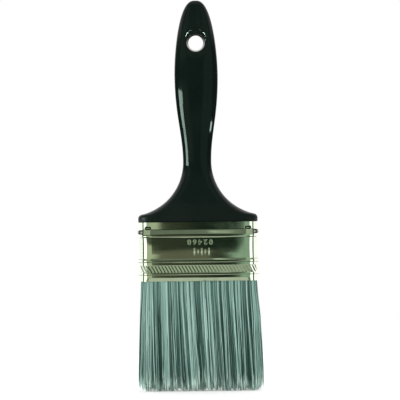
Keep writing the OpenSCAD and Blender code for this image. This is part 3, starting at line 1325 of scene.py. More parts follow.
@dataclass(frozen=True)
class Ferrule:
    """The rolled sheet ferrule with its beads, knurled band and staking dents."""

    plan: Plan = Plan()
    mouth_z: float = 0.0697
    high: float = 0.0374
    sheet: float = 0.0004
    crimp: Pair = (0.0023, 0.0006)
    crimp_power: float = 1.3
    fold: float = 0.00008
    mouth_waves: Tuple[Triple, ...] = ((0.12, 310.0, 0.5), (0.08, 640.0, 0.0))
    mouth_dip: Triple = (0.4, 0.0105, 0.009)
    mouth_drop: float = 0.0003
    low_rib: Bead = Bead(0.0039, (0.0043, 0.0051), 0.0064, 0.00023)
    high_rib: Bead = Bead(0.0118, (0.0122, 0.0132), 0.0144, 0.00033, (False, True))
    bead: Bead = Bead(0.0276, (0.0283, 0.0291), 0.0331, 0.0004, (True, False))
    knurl_z: float = 0.0054
    knurl_h: float = 0.0047
    knurl_pitch: float = 0.00213
    knurl_lean: float = 0.0027
    knurl_rise: float = 0.00026
    knurl_skew: float = 0.3
    knurl_run_out: float = 0.142
    knurl_rim: float = 0.99
    knurl_mark: float = -0.0165
    bulges: Triple = (0.00045, 0.00012, 0.00055)
    bulge_over: float = 0.0005
    bulge_tilt: float = 0.3
    stakes: Stakes = Stakes()
    punch: Tuple[Pair, Pair] = ((0.00018, -0.003), (0.00018, 0.002))
    dent_wall: float = 0.0002
    dent_grow: Tuple[float, ...] = (-0.00016, -0.00012, -0.00005, 0.00005, 0.0002, 0.0004)
    dent_out: Tuple[float, ...] = (-0.0012, -0.0007, -0.0003, -0.0001, 0.00002, 0.00003)
    tongue_grow: Tuple[float, ...] = (-0.00075, -0.00072, -0.0008, -0.00088)
    tongue_out: Tuple[float, ...] = (-0.0012, -0.0006, -0.00045, -0.0004)
    digits_size: float = 0.0044
    digits_swell: float = 0.00008
    digits_rise: float = 0.00016
    digits_edge: float = 0.00012
    digits_at: Pair = (0.0012, 0.0945)
    tick: Triple = (0.0009, 0.0007, 0.005)
    tick_edge: float = 0.0003
    tick_step: float = 0.0023
    ticks_at: Pair = (0.0022, 0.0882)
    around: int = 84
    flat_cuts: int = 60
    sharp: float = 38.0

    def _profile(self) -> Iterator[Pair]:
        """Heights over the mouth and distances out of the sheet's face, from the mouth up.

        Returns:
            Pairs of height and distance.
        """
        high, deep = self.crimp
        for k in range(7):
            yield high * k / 6, -deep * (1 - k / 6)
        yield high + self.fold, 0.0
        yield from self.low_rib.profile()
        for k in range(1, 4):
            yield mix(self.low_rib.top, self.high_rib.foot, k / 4), 0.0
        yield from self.high_rib.profile()
        for k in range(1, 10):
            yield mix(self.high_rib.top, self.bead.foot, k / 10), 0.0
        yield from self.bead.profile(10)
        for k in range(1, 5):
            yield mix(self.bead.top, self.high, k / 4), 0.0

    def _way_out(self, places: Array) -> Tuple[Array, Array]:
        """How far points lie past the flats across the brush, and their way out of the plan.

        Args:
            places: Places of the points.

        Returns:
            The distances, and the ways as unit pairs.
        """
        ends = places[:, :2].copy()
        ends[:, 0] -= np.clip(ends[:, 0], -self.plan.core, self.plan.core)
        far = np.maximum(np.linalg.norm(ends, axis=1), 1e-6)
        return np.abs(ends[:, 0]), ends / far[:, None]

    def _swell(self, places: Array, end_fade: float = 0.006) -> None:
        """Moves points on the sheet out as its flats and its panel stand out.

        Args:
            places: Places of the points, changed in place.
            end_fade: Distance past the flats over which the panel's swell fades.
        """
        x, z = places[:, 0], places[:, 2]
        low = self.mouth_z + self.high_rib.top
        top = self.mouth_z + self.bead.foot
        up = np.clip((z - low) / (top - low), 0.0, 1.0)
        base, panel, collar = self.bulges
        above = ease((z - top) / (self.bead.top - self.bead.foot))
        part = np.clip(x / (self.plan.core + self.bulge_over), -1.0, 1.0)
        broad = (base + (collar - base) * above) * (1.0 - part**2)
        broad *= 1.0 - self.bulge_tilt * part * above
        past, way = self._way_out(places)
        out = panel * np.sin(math.pi * up) * (1.0 - ease(past / end_fade))
        places[:, :2] += way * out[:, None]
        places[:, 1] += np.sign(places[:, 1]) * broad

    def _crimp(self, places: Array, end_fade: float = 0.003) -> None:
        """Makes the mouth's crimped edge uneven on the flats and flush at the rounded ends.

        Args:
            places: Places of the points, changed in place.
            end_fade: Distance past the flats over which the edge comes flush.
        """
        x, (high, deep) = places[:, 0], self.crimp
        under = np.clip(1.0 - (places[:, 2] - self.mouth_z) / high, 0.0, 1.0) ** self.crimp_power
        wave = sum(share * np.sin(x * beat + start) for share, beat, start in self.mouth_waves)
        dip, middle, half = self.mouth_dip
        wave += dip * np.exp(-(((x - middle) / half) ** 2))
        places[:, 1] += np.sign(places[:, 1]) * deep * wave * under
        places[:, 2] += self.mouth_drop * wave * under
        past, way = self._way_out(places)
        flush = np.clip(1.0 - (places[:, 2] - self.mouth_z) / high, 0.0, 1.0)
        flush *= deep * ease(past / end_fade)
        places[:, :2] += way * flush[:, None]

    def _sheet(self) -> Object:
        """Models the rolled sheet.

        Returns:
            The sheet.
        """
        rings = []
        for z, out in self._profile():
            deep = self.plan.end_r + out
            rings.append(Ring(self.mouth_z + z, self.plan.core + deep, deep, deep))
        piece = raised("ferrule_sheet", rings, self.around, self.flat_cuts, closed=False)
        places = points_of(piece)
        self._swell(places)
        self._crimp(places)
        set_points(piece, places)
        thicken(piece, self.sheet, -1.0)
        return piece

    def _tooth(self, sunk: float = 0.00005, wall: float = 0.0001) -> Object:
        """Models one rounded slanted tooth, flat, at the start of the plan.

        Args:
            sunk: Depth of its foot in the sheet.
            wall: Thickness of its wall.

        Returns:
            The tooth.
        """
        half = self.knurl_pitch / 2
        middle = self.mouth_z + self.knurl_z + self.knurl_h / 2
        place, turn = (0, 0, middle), (QUARTER, 0, 0)
        bpy.ops.mesh.primitive_grid_add(
            x_subdivisions=8, y_subdivisions=5, size=1.0, location=place, rotation=turn
        )
        tooth = bpy.context.object
        tooth.scale = (2 * half, self.knurl_h, 1)
        settle(tooth)
        places = points_of(tooth)
        across = np.clip(places[:, 0] / half, -1.0, 1.0)
        along = np.clip(2.0 * (places[:, 2] - middle) / self.knurl_h, -1.0, 1.0)
        hump = np.cos(QUARTER * across) ** 2 * (np.abs(along) < self.knurl_rim)
        along = np.sign(along) * np.abs(along) ** self.knurl_run_out
        places[:, 2] = middle + along * self.knurl_h / 2
        places[:, 1] = self.knurl_rise * hump - sunk
        places[:, 0] -= self.knurl_lean * along / 2 + self.knurl_skew * self.knurl_rise * hump
        set_points(tooth, places)
        clean(tooth)
        thicken(tooth, wall, -1.0)
        return tooth

    def _teeth(self) -> Object:
        """Copies the tooth round the plan, with the doubled mark where the roll met itself.

        Returns:
            The band of teeth.
        """
        flat, faces = pattern_of(self._tooth())
        count = int(self.plan.trip / self.knurl_pitch)
        step = self.plan.trip / count
        mark = self.plan.way_to(self.knurl_mark)
        ways = [step * k for k in range(count)] + [mark + 0.5 * step, mark + 1.5 * step]
        rows = np.stack([self.plan.wrap(flat + (way, 0.0, 0.0)) for way in ways])
        for row in rows:
            self._swell(row)
        return repeated("teeth", rows, faces)

    def _digits(self) -> Object:
        """Models a row of plain digits, raised from the panel and upside down.

        Returns:
            The digits.
        """
        bpy.ops.object.text_add(location=(0, 0, 0))
        made = bpy.context.object
        text = made.data
        text.body = "0 2 4 6 8"
        text.size = self.digits_size
        text.align_x = "CENTER"
        text.align_y = "CENTER"
        text.offset = self.digits_swell
        text.extrude = self.digits_rise
        text.bevel_depth = self.digits_edge
        text.bevel_resolution = 2
        take(made)
        bpy.ops.object.convert(target="MESH")
        made.rotation_euler = (QUARTER, math.pi, 0)
        made.location = (self.digits_at[0], -self.plan.end_r, self.digits_at[1])
        settle(made)
        return made

    def _ticks(self, count: int = 5, low: float = 0.6) -> Iterator[Object]:
        """Models one rounded tick of a plain scale and sets copies of two heights.

        Args:
            count: Number of ticks.
            low: Height of a short tick as a share of a tall one's.

        Returns:
            The ticks, from the left.
        """
        tick = rounded_block(self.tick, (0, 0, 0), self.tick_edge)
        for k in range(count):
            made = copy_of(tick, f"tick_{k}")
            made.scale = (1, 1, 1.0 if k % 2 == 0 else low)
            x = self.ticks_at[0] + self.tick_step * (k - count // 2)
            made.location = (x, -self.plan.end_r, self.ticks_at[1])
            settle(made)
            yield made
        remove(tick)

    def _scale(self) -> List[Object]:
        """Models a plain embossed scale, upside down as the brush is held, on the panel.

        Returns:
            The digits and the ticks.
        """
        marks = [self._digits(), *self._ticks()]
        for mark in marks:
            places = points_of(mark)
            self._swell(places)
            set_points(mark, places)
            clean(mark)
        return marks

    def build(self) -> Object:
        """Models the ferrule, undressed.

        Returns:
            The ferrule.
        """
        piece = self._sheet()
        self.stakes.punch(piece, "punch", self.punch)
        skin, tongue = zip(self.dent_grow, self.dent_out), zip(self.tongue_grow, self.tongue_out)
        edges = self.stakes.shapes("dent_edge", skin, self.dent_wall)
        tongues = self.stakes.shapes("dent_tongue", tongue)
        join(piece, [*edges, *tongues, self._teeth(), *self._scale()])
        clean(piece)
        smooth(piece, self.sharp)
        return piece

    def make(self, finish: PlatedSheet) -> None:
        """Builds and dresses the ferrule, and sets it on the brush.

        Args:
            finish: Finish of the ferrule.
        """
        piece = self.build()
        dress(piece, finish.material())
        hand_over(piece, "ferrule_metal", "ferrule")


@dataclass(frozen=True)
class Strands:
    """Where the filaments stand below the mouth, and the locks that they form.

    Attributes:
        sites: Place of each strand.
        lock: The lock of each strand.
        middles: The middle of each lock.
        across: Share of the half width at which each strand stands.
    """

    sites: Array
    lock: Array
    middles: Array
    across: Array


@dataclass(frozen=True)
class Bristles:
    """Thousands of fine filaments in three banks and two colours."""

    core: float = 0.0301
    root_r: float = 0.0069
    free_r: float = 0.0082
    spacer_half: float = 0.0285
    spacer_clear: float = 0.0012
    bank_root: float = 0.0054
    bank_t: float = 0.003
    mouth_z: float = 0.0697
    heel_top: float = 0.0816
    pitch: float = 0.00039
    jitter: float = 0.4
    thick: float = 0.0004
    thick_range: Pair = (0.85, 1.15)
    levels: Tuple[float, ...] = (0.0, 0.15, 0.24, 0.45, 0.7, 0.88, 0.96, 1.0)
    taper: Tuple[float, ...] = (1.0, 1.0, 1.0, 0.96, 0.92, 0.88, 0.7, 0.3)
    lock_area: float = 1.7e-6
    lock_squeeze: Pair = (1.0, 0.35)
    batch: int = 1000
    streaks: Pair = (0.0026, 0.005)
    streak_sway: Pair = (0.4, 210.0)
    streak_bounds: Pair = (-0.15, 0.5)
    dark_shares: Triple = (0.86, 0.5, 0.14)
    tone_stray: float = 0.14
    lock_uneven: float = 0.0022
    lock_short: Pair = (0.2, 0.005)
    uneven: float = 0.0008
    short: float = 0.0055
    short_shares: Pair = (0.2, 0.5)
    notch_h: float = 0.0045
    notch_waves: Tuple[Pair, Pair] = ((520.0, 0.6), (171.0, 2.0))
    notch_floor: float = 0.45
    ragged_h: float = 0.0024
    ragged_wave: Triple = (1460.0, 1.3, 570.0)
    ragged_ripple: Triple = (0.7, 2630.0, 1.0)
    ragged_floor: float = 0.1
    trim: float = 0.0009
    lock_stray: Pair = (0.0007, 0.5)
    stray: float = 0.0003
    edge_stray: Triple = (2.5, 0.9, 0.08)
    draw: Pair = (0.1, 0.5)
    opening: float = 0.3
    sway: Pair = (0.00022, 7.0)
    flare: float = 0.0015
    sides: Triple = (0.0366, 0.0384, 0.0026)
    side_give: Pair = (0.0004, 0.0012)
    lean: float = 0.0034
    corner_lift: Pair = (0.0048, 0.0014)
    corner_w: float = 0.0032

    @property
    def third(self) -> float:
        """Depth of one bank below the mouth."""
        return 2.0 * self.free_r / 3.0

    def _strand(self) -> Tuple[Array, Faces]:
        """Models one straight strand of unit thickness and length, and gives its points and faces.

        Returns:
            The points, one row each, and the faces.
        """
        bpy.ops.mesh.primitive_circle_add(vertices=3, radius=0.5, fill_type="NGON")
        piece = bpy.context.object
        bpy.ops.object.mode_set(mode="EDIT")
        bpy.ops.mesh.select_all(action="SELECT")
        for k, z in enumerate(self.levels[1:]):
            step = (0, 0, z - self.levels[k])
            bpy.ops.mesh.extrude_region_move(TRANSFORM_OT_translate={"value": step})
            ratio = self.taper[k + 1] / self.taper[k]
            bpy.ops.transform.resize(value=(ratio, ratio, 1), center_override=(0, 0, z))
        bpy.ops.mesh.select_all(action="SELECT")
        bpy.ops.mesh.normals_make_consistent(inside=True)
        bpy.ops.object.mode_set(mode="OBJECT")
        return pattern_of(piece)

    def _sites(self, rng: np.random.Generator) -> Array:
        """Places of the strands below the mouth, spread evenly over the free plan.

        Args:
            rng: Source of chance.

        Returns:
            The places, in two columns.
        """
        row = self.pitch * CLOSE_ROW
        wide = self.core + self.free_r
        sites = []
        for j, y in enumerate(np.arange(-self.free_r, self.free_r, row)):
            x = np.arange(-wide, wide, self.pitch) + (j % 2) * self.pitch / 2
            sites.append(np.column_stack((x, np.full_like(x, y))))
        spread = np.concatenate(sites)
        spread += rng.uniform(-self.jitter, self.jitter, spread.shape) * self.pitch
        past = np.maximum(np.abs(spread[:, 0]) - self.core, 0.0)
        return spread[np.hypot(past, spread[:, 1]) < self.free_r]

    def _strands(self, rng: np.random.Generator) -> Strands:
        """Places the strands and groups them into locks.

        Args:
            rng: Source of chance.

        Returns:
            The strands.
        """
        sites = self._sites(rng)
        count = int(len(sites) * self.pitch**2 * CLOSE_ROW / self.lock_area)
        middles = sites[rng.choice(len(sites), count, replace=False)]
        lock = np.empty(len(sites), dtype=int)
        for start in range(0, len(sites), self.batch):
            part = sites[start : start + self.batch, None, :] - middles[None, :, :]
            far = ((part * np.array(self.lock_squeeze)) ** 2).sum(axis=2)
            lock[start : start + self.batch] = np.argmin(far, axis=1)
        return Strands(sites, lock, middles, sites[:, 0] / (self.core + self.free_r))

    def _roots(self, sites: Array, bank: Array) -> Array:
        """Places of the strands inside the ferrule, clear of the spacers.

        Args:
            sites: Places of the strands below the mouth.
            bank: Each strand's bank.

        Returns:
            The places, in two columns.
        """
        packed = bank * self.bank_root + (sites[:, 1] - bank * self.third) * self.bank_t / self.third
        past = np.maximum(np.abs(sites[:, 0]) - self.core, 0.0)
        draw = self.root_r / self.free_r
        end_x = np.sign(sites[:, 0]) * (np.abs(sites[:, 0]) - past * (1.0 - draw))
        share = ease((np.abs(sites[:, 0]) - self.spacer_half) / self.spacer_clear)
        return np.column_stack((end_x, mix(packed, sites[:, 1] * draw, share)))

    def _dark(self, strands: Strands, rng: np.random.Generator) -> Array:
        """Which strands are dark: both kinds mingle, more of one or the other in each lock.

        Args:
            strands: The strands.
            rng: Source of chance.

        Returns:
            Whether each strand is dark.
        """
        x, y = strands.middles.T
        sway, rate = self.streak_sway
        beat = x / self.streaks[0] + sway * np.sin(x * rate) + y / self.streaks[1]
        beat = np.sin(FULL * beat) + rng.normal(0.0, 1.0, len(x))
        *shares, rest = self.dark_shares
        kind = np.select([beat < bound for bound in self.streak_bounds], shares, rest)
        return rng.random(len(strands.sites)) < kind[strands.lock]

    def _tips(self, strands: Strands, is_dark: Array, rng: np.random.Generator) -> Array:
        """Heights of the tips: uneven by lock and by strand, and higher at the brush's corners.

        Args:
            strands: The strands.
            is_dark: Whether each one is dark.
            rng: Source of chance.

        Returns:
            The heights.
        """
        x, locks = strands.sites[:, 0], len(strands.middles)
        some = rng.random(locks) < self.lock_short[0]
        lock_tip = rng.uniform(0.0, self.lock_uneven, locks)
        lock_tip += some * rng.uniform(0.0, self.lock_short[1], locks)
        short = rng.random(len(x)) < np.where(is_dark, *self.short_shares)
        tip = lock_tip[strands.lock] + np.abs(rng.normal(0.0, self.uneven, len(x)))
        tip += short * rng.uniform(0.0, self.short, len(x))
        (fine, fine_start), (broad, broad_start) = self.notch_waves
        notch = np.sin(x * fine + fine_start) * np.sin(x * broad + broad_start) - self.notch_floor
        tip += self.notch_h * np.maximum(notch, 0.0)
        rate, bend, bend_rate = self.ragged_wave
        ragged = np.sin(x * rate + bend * np.sin(x * bend_rate))
        share, rate, start = self.ragged_ripple
        ragged += share * np.sin(x * rate + start)
        tip += self.ragged_h * np.maximum(ragged - self.ragged_floor, 0.0)
        corner = np.maximum(0.0, np.abs(x) - self.core - self.free_r + self.corner_w)
        lift = np.where(x < 0, *self.corner_lift)
        return np.maximum(tip - self.trim, 0.0) + lift * (corner / self.corner_w) ** 1.5

    def _centres(
        self, strands: Strands, roots: Array, z: Array, own: Array, rng: np.random.Generator
    ) -> Array:
        """Lays the strands out: each lock draws together to its tip and strays to one side.

        Args:
            strands: The strands and their locks.
            roots: Places of the strands inside the ferrule.
            z: Heights along each strand.
            own: Share of each strand's free length at those heights.
            rng: Source of chance.

        Returns:
            Places across and along the depth at each height of each strand.
        """
        lock, middles = strands.lock, strands.middles
        across = strands.across[:, None]
        far, in_depth = self.lock_stray
        lock_stray = rng.normal(0.0, far, (len(middles), 2)) * np.array((1.0, in_depth))
        stray = rng.normal(0.0, self.stray, (len(lock), 2))
        more, start, fade = self.edge_stray
        stray[:, 0] *= 1.0 + more * ease((np.abs(strands.across) - start) / fade)
        draw = rng.uniform(*self.draw, len(middles))
        wave = rng.uniform(0.0, FULL, (len(lock), 2))
        down = np.clip((self.mouth_z - z) / self.mouth_z, 0.0, 1.0)
        free = strands.sites[:, None, :] * np.ones((1, z.shape[1], 1))
        pull = draw[lock][:, None] * own**4
        free += (middles[lock][:, None, :] - free) * pull[:, :, None]
        free += lock_stray[lock][:, None, :] * (down**1.5)[:, :, None]
        free += stray[:, None, :] * down[:, :, None]
        free[:, :, 0] += self.flare * across * down
        free[:, :, 0] += self.lean * (1.0 - across**2) * down**1.1
        sway = self.sway[0] * np.sin(down[:, :, None] * self.sway[1] + wave[:, None, :])
        free += sway * down[:, :, None] ** 0.5
        opened = ease(down / self.opening)[:, :, None]
        centre = roots[:, None, :] + (free - roots[:, None, :]) * opened
        left, right, widen = self.sides
        limit = np.where(across < 0, left, right) + widen * down - self.thick
        over = np.maximum(np.abs(centre[:, :, 0]) - limit, 0.0)
        held = limit + self.side_give[0] * np.tanh(over / self.side_give[1])
        centre[:, :, 0] = np.where(over > 0, np.sign(centre[:, :, 0]) * held, centre[:, :, 0])
        return centre

    def build(self) -> Dict[Tuple[Bank, Tone], Object]:
        """Models every bank of filaments, by bank and tone.

        Returns:
            The pieces, by bank and tone.
        """
        rng = np.random.default_rng(SEED)
        points, faces = self._strand()
        share = np.unique(np.round(points[:, 2], 6))
        level = np.searchsorted(share, np.round(points[:, 2], 6))
        strands = self._strands(rng)
        count = len(strands.sites)
        bank = np.clip(np.round(strands.sites[:, 1] / self.third), -1, 1)
        roots = self._roots(strands.sites, bank)
        is_dark = self._dark(strands, rng)
        tip = self._tips(strands, is_dark, rng)[:, None]
        z = self.heel_top + (tip - self.heel_top) * share[None, :]
        own = np.clip((self.mouth_z - z) / (self.mouth_z - tip), 0.0, 1.0)
        centre = self._centres(strands, roots, z, own, rng)
        tone = rng.uniform(0.0, 1.0, len(strands.middles))[strands.lock]
        tone = np.clip(tone + rng.normal(0.0, self.tone_stray, count), 0.0, 1.0)
        turn = rng.uniform(0.0, FULL, count)[:, None]
        thick = self.thick * rng.uniform(*self.thick_range, count)
        ring = points[:, :2][None, :, :] * thick[:, None, None]
        x, y = ring[:, :, 0], ring[:, :, 1]
        cos, sin = np.cos(turn), np.sin(turn)
        turned = np.stack((x * cos - y * sin, x * sin + y * cos), axis=2)
        places = np.concatenate((centre[:, level, :] + turned, z[:, level, None]), axis=2)
        shapes: Dict[Tuple[Bank, Tone], Object] = {}
        for place in Bank:
            for colour in Tone:
                chosen = (bank == place.value) & (is_dark == (colour is Tone.DARK))
                name = f"{place.name.lower()}_{colour.value}_bristles"
                piece = repeated(name, places[chosen], faces)
                values = {"tone": np.repeat(tone[chosen], len(points)), "along": own[chosen][:, level]}
                for label, value in values.items():
                    attribute = piece.data.attributes.new(label, "FLOAT", "POINT")
                    attribute.data.foreach_set("value", value.ravel().astype(np.float32))
                piece.data.shade_smooth()
                shapes[place, colour] = piece
        return shapes

    def make(self, finishes: Dict[Tone, FilamentFinish]) -> None:
        """Builds and dresses the filaments, each tone in its finish, and sets them on the brush.

        Args:
            finishes: Finish of each tone.
        """
        materials = {tone: finish.material() for tone, finish in finishes.items()}
        for (bank, tone), piece in self.build().items():
            dress(piece, materials[tone])
            node = f"{bank.name.lower()}_{tone.value}_filaments"
            hand_over(piece, f"{tone.value}_filament", node)


@dataclass(frozen=True)
class Setting:
    """The resin and the spacer strips inside the ferrule, kept from the solids."""

    resin: str = "resin_setting"
    spacers: Tuple[str, str] = ("front_spacer", "back_spacer")

    def make(self, resin: CastResin, wood: SawnWood) -> None:
        """Dresses the solids that the ferrule hides.

        Args:
            resin: Finish of the resin.
            wood: Finish of the spacers.
        """
        nodes = frame["nodes"]
        dress(nodes[self.resin], resin.material())
        strip = wood.material()
        for name in self.spacers:
            dress(nodes[name], strip)
        log.info("dressed %s and %s", self.resin, ", ".join(self.spacers))


@dataclass(frozen=True)
class Lamp:
    """A rectangular soft lamp.

    Attributes:
        name: Name of the lamp.
        place: Its middle.
        aim: Where it points.
        width: Its width.
        height: Its height.
        level: Its radiance.
        tint: Its colour.
        beam: Angle of its beam, in degrees.
        only: The one piece that it lights, or none for all.
        unmirrored: Whether shiny pieces don't mirror it.
    """

    name: str
    place: Triple
    aim: Triple
    width: float
    height: float
    level: float
    tint: Triple = (1.0, 1.0, 1.0)
    beam: float = 180.0
    only: str = ""
    unmirrored: bool = False

    @classmethod
    def upright(
        cls, name: str, turn: float, away: float, span: Pair, width: float, level: float, **traits: Any
    ) -> "Lamp":
        """Upright lamp that faces the brush, some degrees from the front and a distance away.

        Args:
            name: Name of the lamp.
            turn: Degrees from the front.
            away: Distance from the brush's axis.
            span: Heights of its lower and upper ends.
            width: Its width.
            level: Its strength.
            traits: Other fields of the lamp.

        Returns:
            The lamp.
        """
        x, y = away * math.sin(math.radians(turn)), -away * math.cos(math.radians(turn))
        middle, high = sum(span) / 2, span[1] - span[0]
        return cls(name, (x, y, middle), (0, 0, middle), width, high, level, **traits)

    def build(self) -> None:
        """Adds the lamp, hidden from the camera."""
        data = bpy.data.lights.new(self.name, "AREA")
        data.shape = "RECTANGLE"
        data.size = self.width
        data.size_y = self.height
        data.energy = self.level * math.pi * self.width * self.height
        data.color = self.tint
        data.spread = math.radians(self.beam)
        lamp = add(self.name, data)
        lamp.location = self.place
        way = Vector(self.aim) - Vector(self.place)
        lamp.rotation_euler = way.to_track_quat("-Z", "Y").to_euler()
        lamp.visible_camera = False
        lamp.visible_glossy = not self.unmirrored
        if self.only:
            lamp.visible_diffuse = False
            lit = bpy.data.collections.new(self.name)
            lit.objects.link(bpy.data.objects[self.only])
            lamp.light_linking.receiver_collection = lit


@dataclass(frozen=True)
class Zone:
    """A zone of the painted reflection that shiny pieces mirror, a band of colour with no modelled
    surface behind it.

    Attributes:
        colour: Its colour.
        spans: Its soft bounds, each a measure of direction, the degrees from and to which it
            changes, and the shares there.
    """

    colour: Triple
    spans: Tuple[Tuple[str, float, float, float, float], ...]


# Painted reflections: glossy rays see these colour zones in the surround and on the floor; the walls,
# sill, beam and ceiling they are named after are not modelled.
OVER = ("rise", -17.0, -12.0, 0, 1)
ROOM_BASE = (0.03, 0.038, 0.022)
ROOM = {
    "dim right": Zone((0.01, 0.019, 0.011), (("turn", -2.5, 1.5, 0, 1),)),
    "below": Zone((0.012, 0.02, 0.012), (("rise", -17.0, -12.0, 1, 0),)),
    "warm sill": Zone(
        (0.12, 0.125, 0.08), (OVER, ("rise", -3.2, -0.6, 1, 0), ("turn", 0.9, 2.2, 1, 0.2))
    ),
    "left wall": Zone(
        (0.4, 0.47, 0.31), (OVER, ("drawn", -4.8, -3.6, 1, 0), ("rise", 0.5, 1.6, 1, 0.1))
    ),
    "right wall": Zone((0.265, 0.385, 0.27), (OVER, ("slant", 3.25, 3.6, 0, 1))),
    "high wall": Zone((0.14, 0.17, 0.12), (("rise", 4.5, 7.5, 0, 1),)),
    "wings": Zone((0.36, 0.43, 0.31), (("rise", 3.0, 6.0, 0, 1), ("aside", 6.5, 9.0, 0, 1))),
    "tall beam": Zone(
        (0.42, 0.5, 0.36),
        (("turn", 1.6, 1.9, 0, 1), ("turn", 2.7, 3.0, 1, 0), ("rise", 10.0, 16.0, 0, 1)),
    ),
    "bright floor": Zone(
        (0.46, 0.52, 0.4),
        (
            ("rise", -24.0, -18.0, 1, 0),
            ("rise", -84.0, -74.0, 0, 1),
            ("turn", -36.0, -30.0, 0, 1),
            ("turn", 40.0, 50.0, 1, 0),
        ),
    ),
    "dark sides": Zone((0.04, 0.05, 0.04), (("aside", 64.0, 70.0, 0, 1),)),
    "ceiling": Zone((0.9, 0.92, 0.88), (("rise", 55.0, 75.0, 0, 1),)),
}


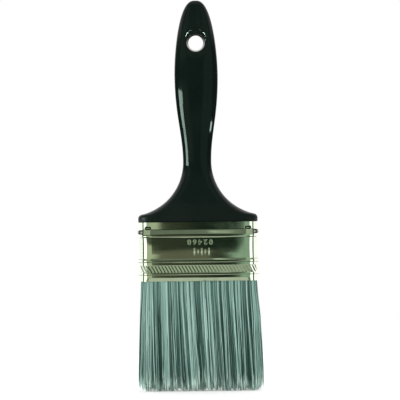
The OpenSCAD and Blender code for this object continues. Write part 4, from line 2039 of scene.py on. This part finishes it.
@dataclass(frozen=True)
class Studio:
    """White sweep, soft lamps and a long-lens camera at the brush's front."""

    eye: Triple = (0.0015, -2.2, 0.121)
    roll: float = math.radians(0.72)
    frame_side: float = 0.254
    sensor: float = 36.0
    floor_r: float = 1.6
    floor_glow: float = 0.3
    floor_colour: Triple = (0.985, 0.995, 0.985)
    mirror_z: float = 0.09
    ambient: float = 1.0
    teal: Triple = (0.74, 1.0, 0.88)
    strips: Tuple[Triple, ...] = ((0.106, 0.13, -56.0), (0.13, 0.158, -54.0), (0.158, 0.184, -48.0))
    strip_end: float = -88.0
    away: float = 0.5
    room: str = "mirrored_room"

    def lamps(self) -> Iterator[Lamp]:
        """Lamps: low cards for the metal, higher strips for the handle, small beams for its hole.

        Returns:
            The lamps.
        """
        for name, turn in (("left_card", -53.5), ("right_card", 53.5)):
            yield Lamp.upright(name, turn, self.away, (0.001, 0.108), 0.22, 1.25)
        on_grip = {"tint": self.teal, "only": GRIP}
        for low, top, inner in self.strips:
            wide = 2 * self.away * math.tan(math.radians(inner - self.strip_end) / 2)
            name, turn = f"left_strip_{low * 1000:.0f}", (inner + self.strip_end) / 2
            yield Lamp.upright(name, turn, self.away, (low, top), wide, 22.0, **on_grip)
        place, aim = (0.1, 0.0, 0.157), (0.0, 0.0, 0.171)
        yield Lamp("right_strip", place, aim, 0.048, 0.0062, 1.1, beam=34.0, **on_grip)
        yield Lamp.upright("front_key", -15.0, 1.4, (0.0, 0.3), 0.5, 18.0, unmirrored=True)
        for side in (-1, 1):
            eye, lip = (side * 0.0005, -0.0351, 0.2202), (side * -0.0055, -0.0065, 0.227)
            yield Lamp(f"hole_beam_{side + 1}", eye, lip, 0.003, 0.003, 0.8, beam=7.5, **on_grip)
            place, aim = (side * 0.13, 0.2375, 0.0545), (0.0, 0.2375, 0.0545)
            yield Lamp(f"side_card_{side + 1}", place, aim, 0.525, 0.107, 1.2)

    def _camera(self) -> None:
        """Adds the camera, level with the brush's middle."""
        data = bpy.data.cameras.new("camera")
        data.sensor_width = self.sensor
        data.lens = self.sensor * -self.eye[1] / self.frame_side
        camera = add("camera", data)
        camera.location = self.eye
        camera.rotation_euler = (QUARTER, self.roll, 0)
        bpy.context.scene.camera = camera

    def _room(self) -> None:
        """Shared group: the painted reflection of a room that shiny pieces mirror, by direction."""
        shade, given, out = new_group(
            self.room, (("Way", "Vector", (0.0, -1.0, 0.0)),), (("Colour", "Color"),)
        )
        unit = shade.node("VectorMath", {0: given[0]}, operation="NORMALIZE")[0]
        parts = shade.node("SeparateXYZ", {0: unit})
        turn = shade.sums("ARCTAN2", parts[0], shade.sums("MULTIPLY", parts[1], -1.0))
        turn = shade.sums("DEGREES", turn)
        rise = shade.sums("DEGREES", shade.sums("ARCSINE", parts[2]))
        aside = shade.sums("ABSOLUTE", turn)
        near = shade.sums("MINIMUM", shade.sums("ADD", rise, 3.0), 0.0)
        drawn = shade.sums("MULTIPLY_ADD", near, -0.5, turn)
        slant = shade.sums("MULTIPLY_ADD", shade.sums("MAXIMUM", rise, -2.6), -0.1, turn)
        slant = shade.sums("MULTIPLY_ADD", near, 0.5, slant)
        measures = {"turn": turn, "rise": rise, "aside": aside, "drawn": drawn, "slant": slant}
        colour: Input = ROOM_BASE
        for zone in ROOM.values():
            spans = (shade.spread(measures[measure], *ends) for measure, *ends in zone.spans)
            colour = shade.blend(shade.times(*spans), colour, zone.colour)
        sky = shade.spread(rise, -6.0, 14.0, 0.04, 1.0)
        behind = shade.times(sky, shade.spread(aside, 120.0, 150.0, 0.08, 1.0))
        behind = shade.sums("MAXIMUM", behind, shade.spread(rise, 7.0, 15.0, 0.0, 0.85))
        back = shade.blend(behind, (0.0, 0.0, 0.0), (1.0, 1.0, 0.98))
        shade.put(out[0], shade.blend(shade.spread(aside, 79.0, 85.0), colour, back))

    def _floor(self) -> None:
        """Adds the white floor that the brush stands on, which glows with the painted reflection of
        the room for glossy rays.
        """
        bpy.ops.mesh.primitive_circle_add(vertices=64, radius=self.floor_r, fill_type="NGON")
        floor = bpy.context.object
        floor.name = "floor"
        made, shade = new_material("studio_white")
        place = shade.here()
        bump = shade.node("Bump", {"Strength": 0.03, "Height": shade.noise(place, 900.0)})[0]
        matt = shade.node("BsdfDiffuse", {"Color": (*self.floor_colour, 1), "Normal": bump})
        glow = shade.node("Emission", {"Color": (1, 1, 1, 1), "Strength": 1.0})
        seen = shade.node("MixShader", {0: self.floor_glow, 1: matt[0], 2: glow[0]})
        # Painted reflection: glossy rays see the room's colours glowing from the floor, by the
        # direction from a point above it.
        middle = (0.0, 0.0, self.mirror_z)
        way = shade.node("VectorMath", {0: place, 1: middle}, operation="SUBTRACT")[0]
        room = shade.group(self.room, {"Way": way})
        painted_reflection = shade.node("Emission", {"Color": room[0], "Strength": 1.0})
        first = shade.by_ray("Camera", matt, seen)
        surface = shade.by_ray("Glossy", first, painted_reflection)
        shade.node("OutputMaterial", {"Surface": surface[0]})
        dress(floor, made)
        floor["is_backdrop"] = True

    def _world(self) -> None:
        """White surround, seen by shiny pieces as the painted reflection of the room on the camera's
        side.
        """
        world = bpy.data.worlds.new("studio")
        bpy.context.scene.world = world
        world.use_nodes = True
        shade = Shade(world.node_tree)
        room = shade.group(self.room, {"Way": shade.node("TexCoord")["Generated"]})
        painted_reflection = shade.node("Background", {"Color": room[0], "Strength": 1.0})
        ambient = shade.node("Background", {"Color": (1, 1, 1, 1), "Strength": self.ambient})
        white = shade.node("Background", {"Color": (1, 1, 1, 1), "Strength": 1.0})
        first = shade.by_ray("Glossy", ambient, painted_reflection)
        surface = shade.by_ray("Camera", first, white)
        shade.node("OutputWorld", {"Surface": surface[0]})

    def make(self) -> None:
        """Sets the whole studio up."""
        self._camera()
        self._room()
        self._floor()
        self._world()
        for lamp in self.lamps():
            lamp.build()
        bpy.context.scene.view_settings.view_transform = "Standard"
        log.info("studio: floor, lamps, surround and camera")


def main() -> None:
    """Builds the brush piece by piece, then the studio."""
    logging.basicConfig(level=logging.INFO, format="%(name)s: %(message)s")
    SharedEffects.build()
    Handle().make(MouldedPlastic())
    Ferrule().make(PlatedSheet())
    Bristles().make(FILAMENTS)
    Setting().make(CastResin(), SawnWood())
    Studio().make()
    sizes = {"cad": CAD_BOX, "visual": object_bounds()}
    {key: [list(corner) for corner in box] for key, box in sizes.items()}


if __name__ == "__main__":
    main()
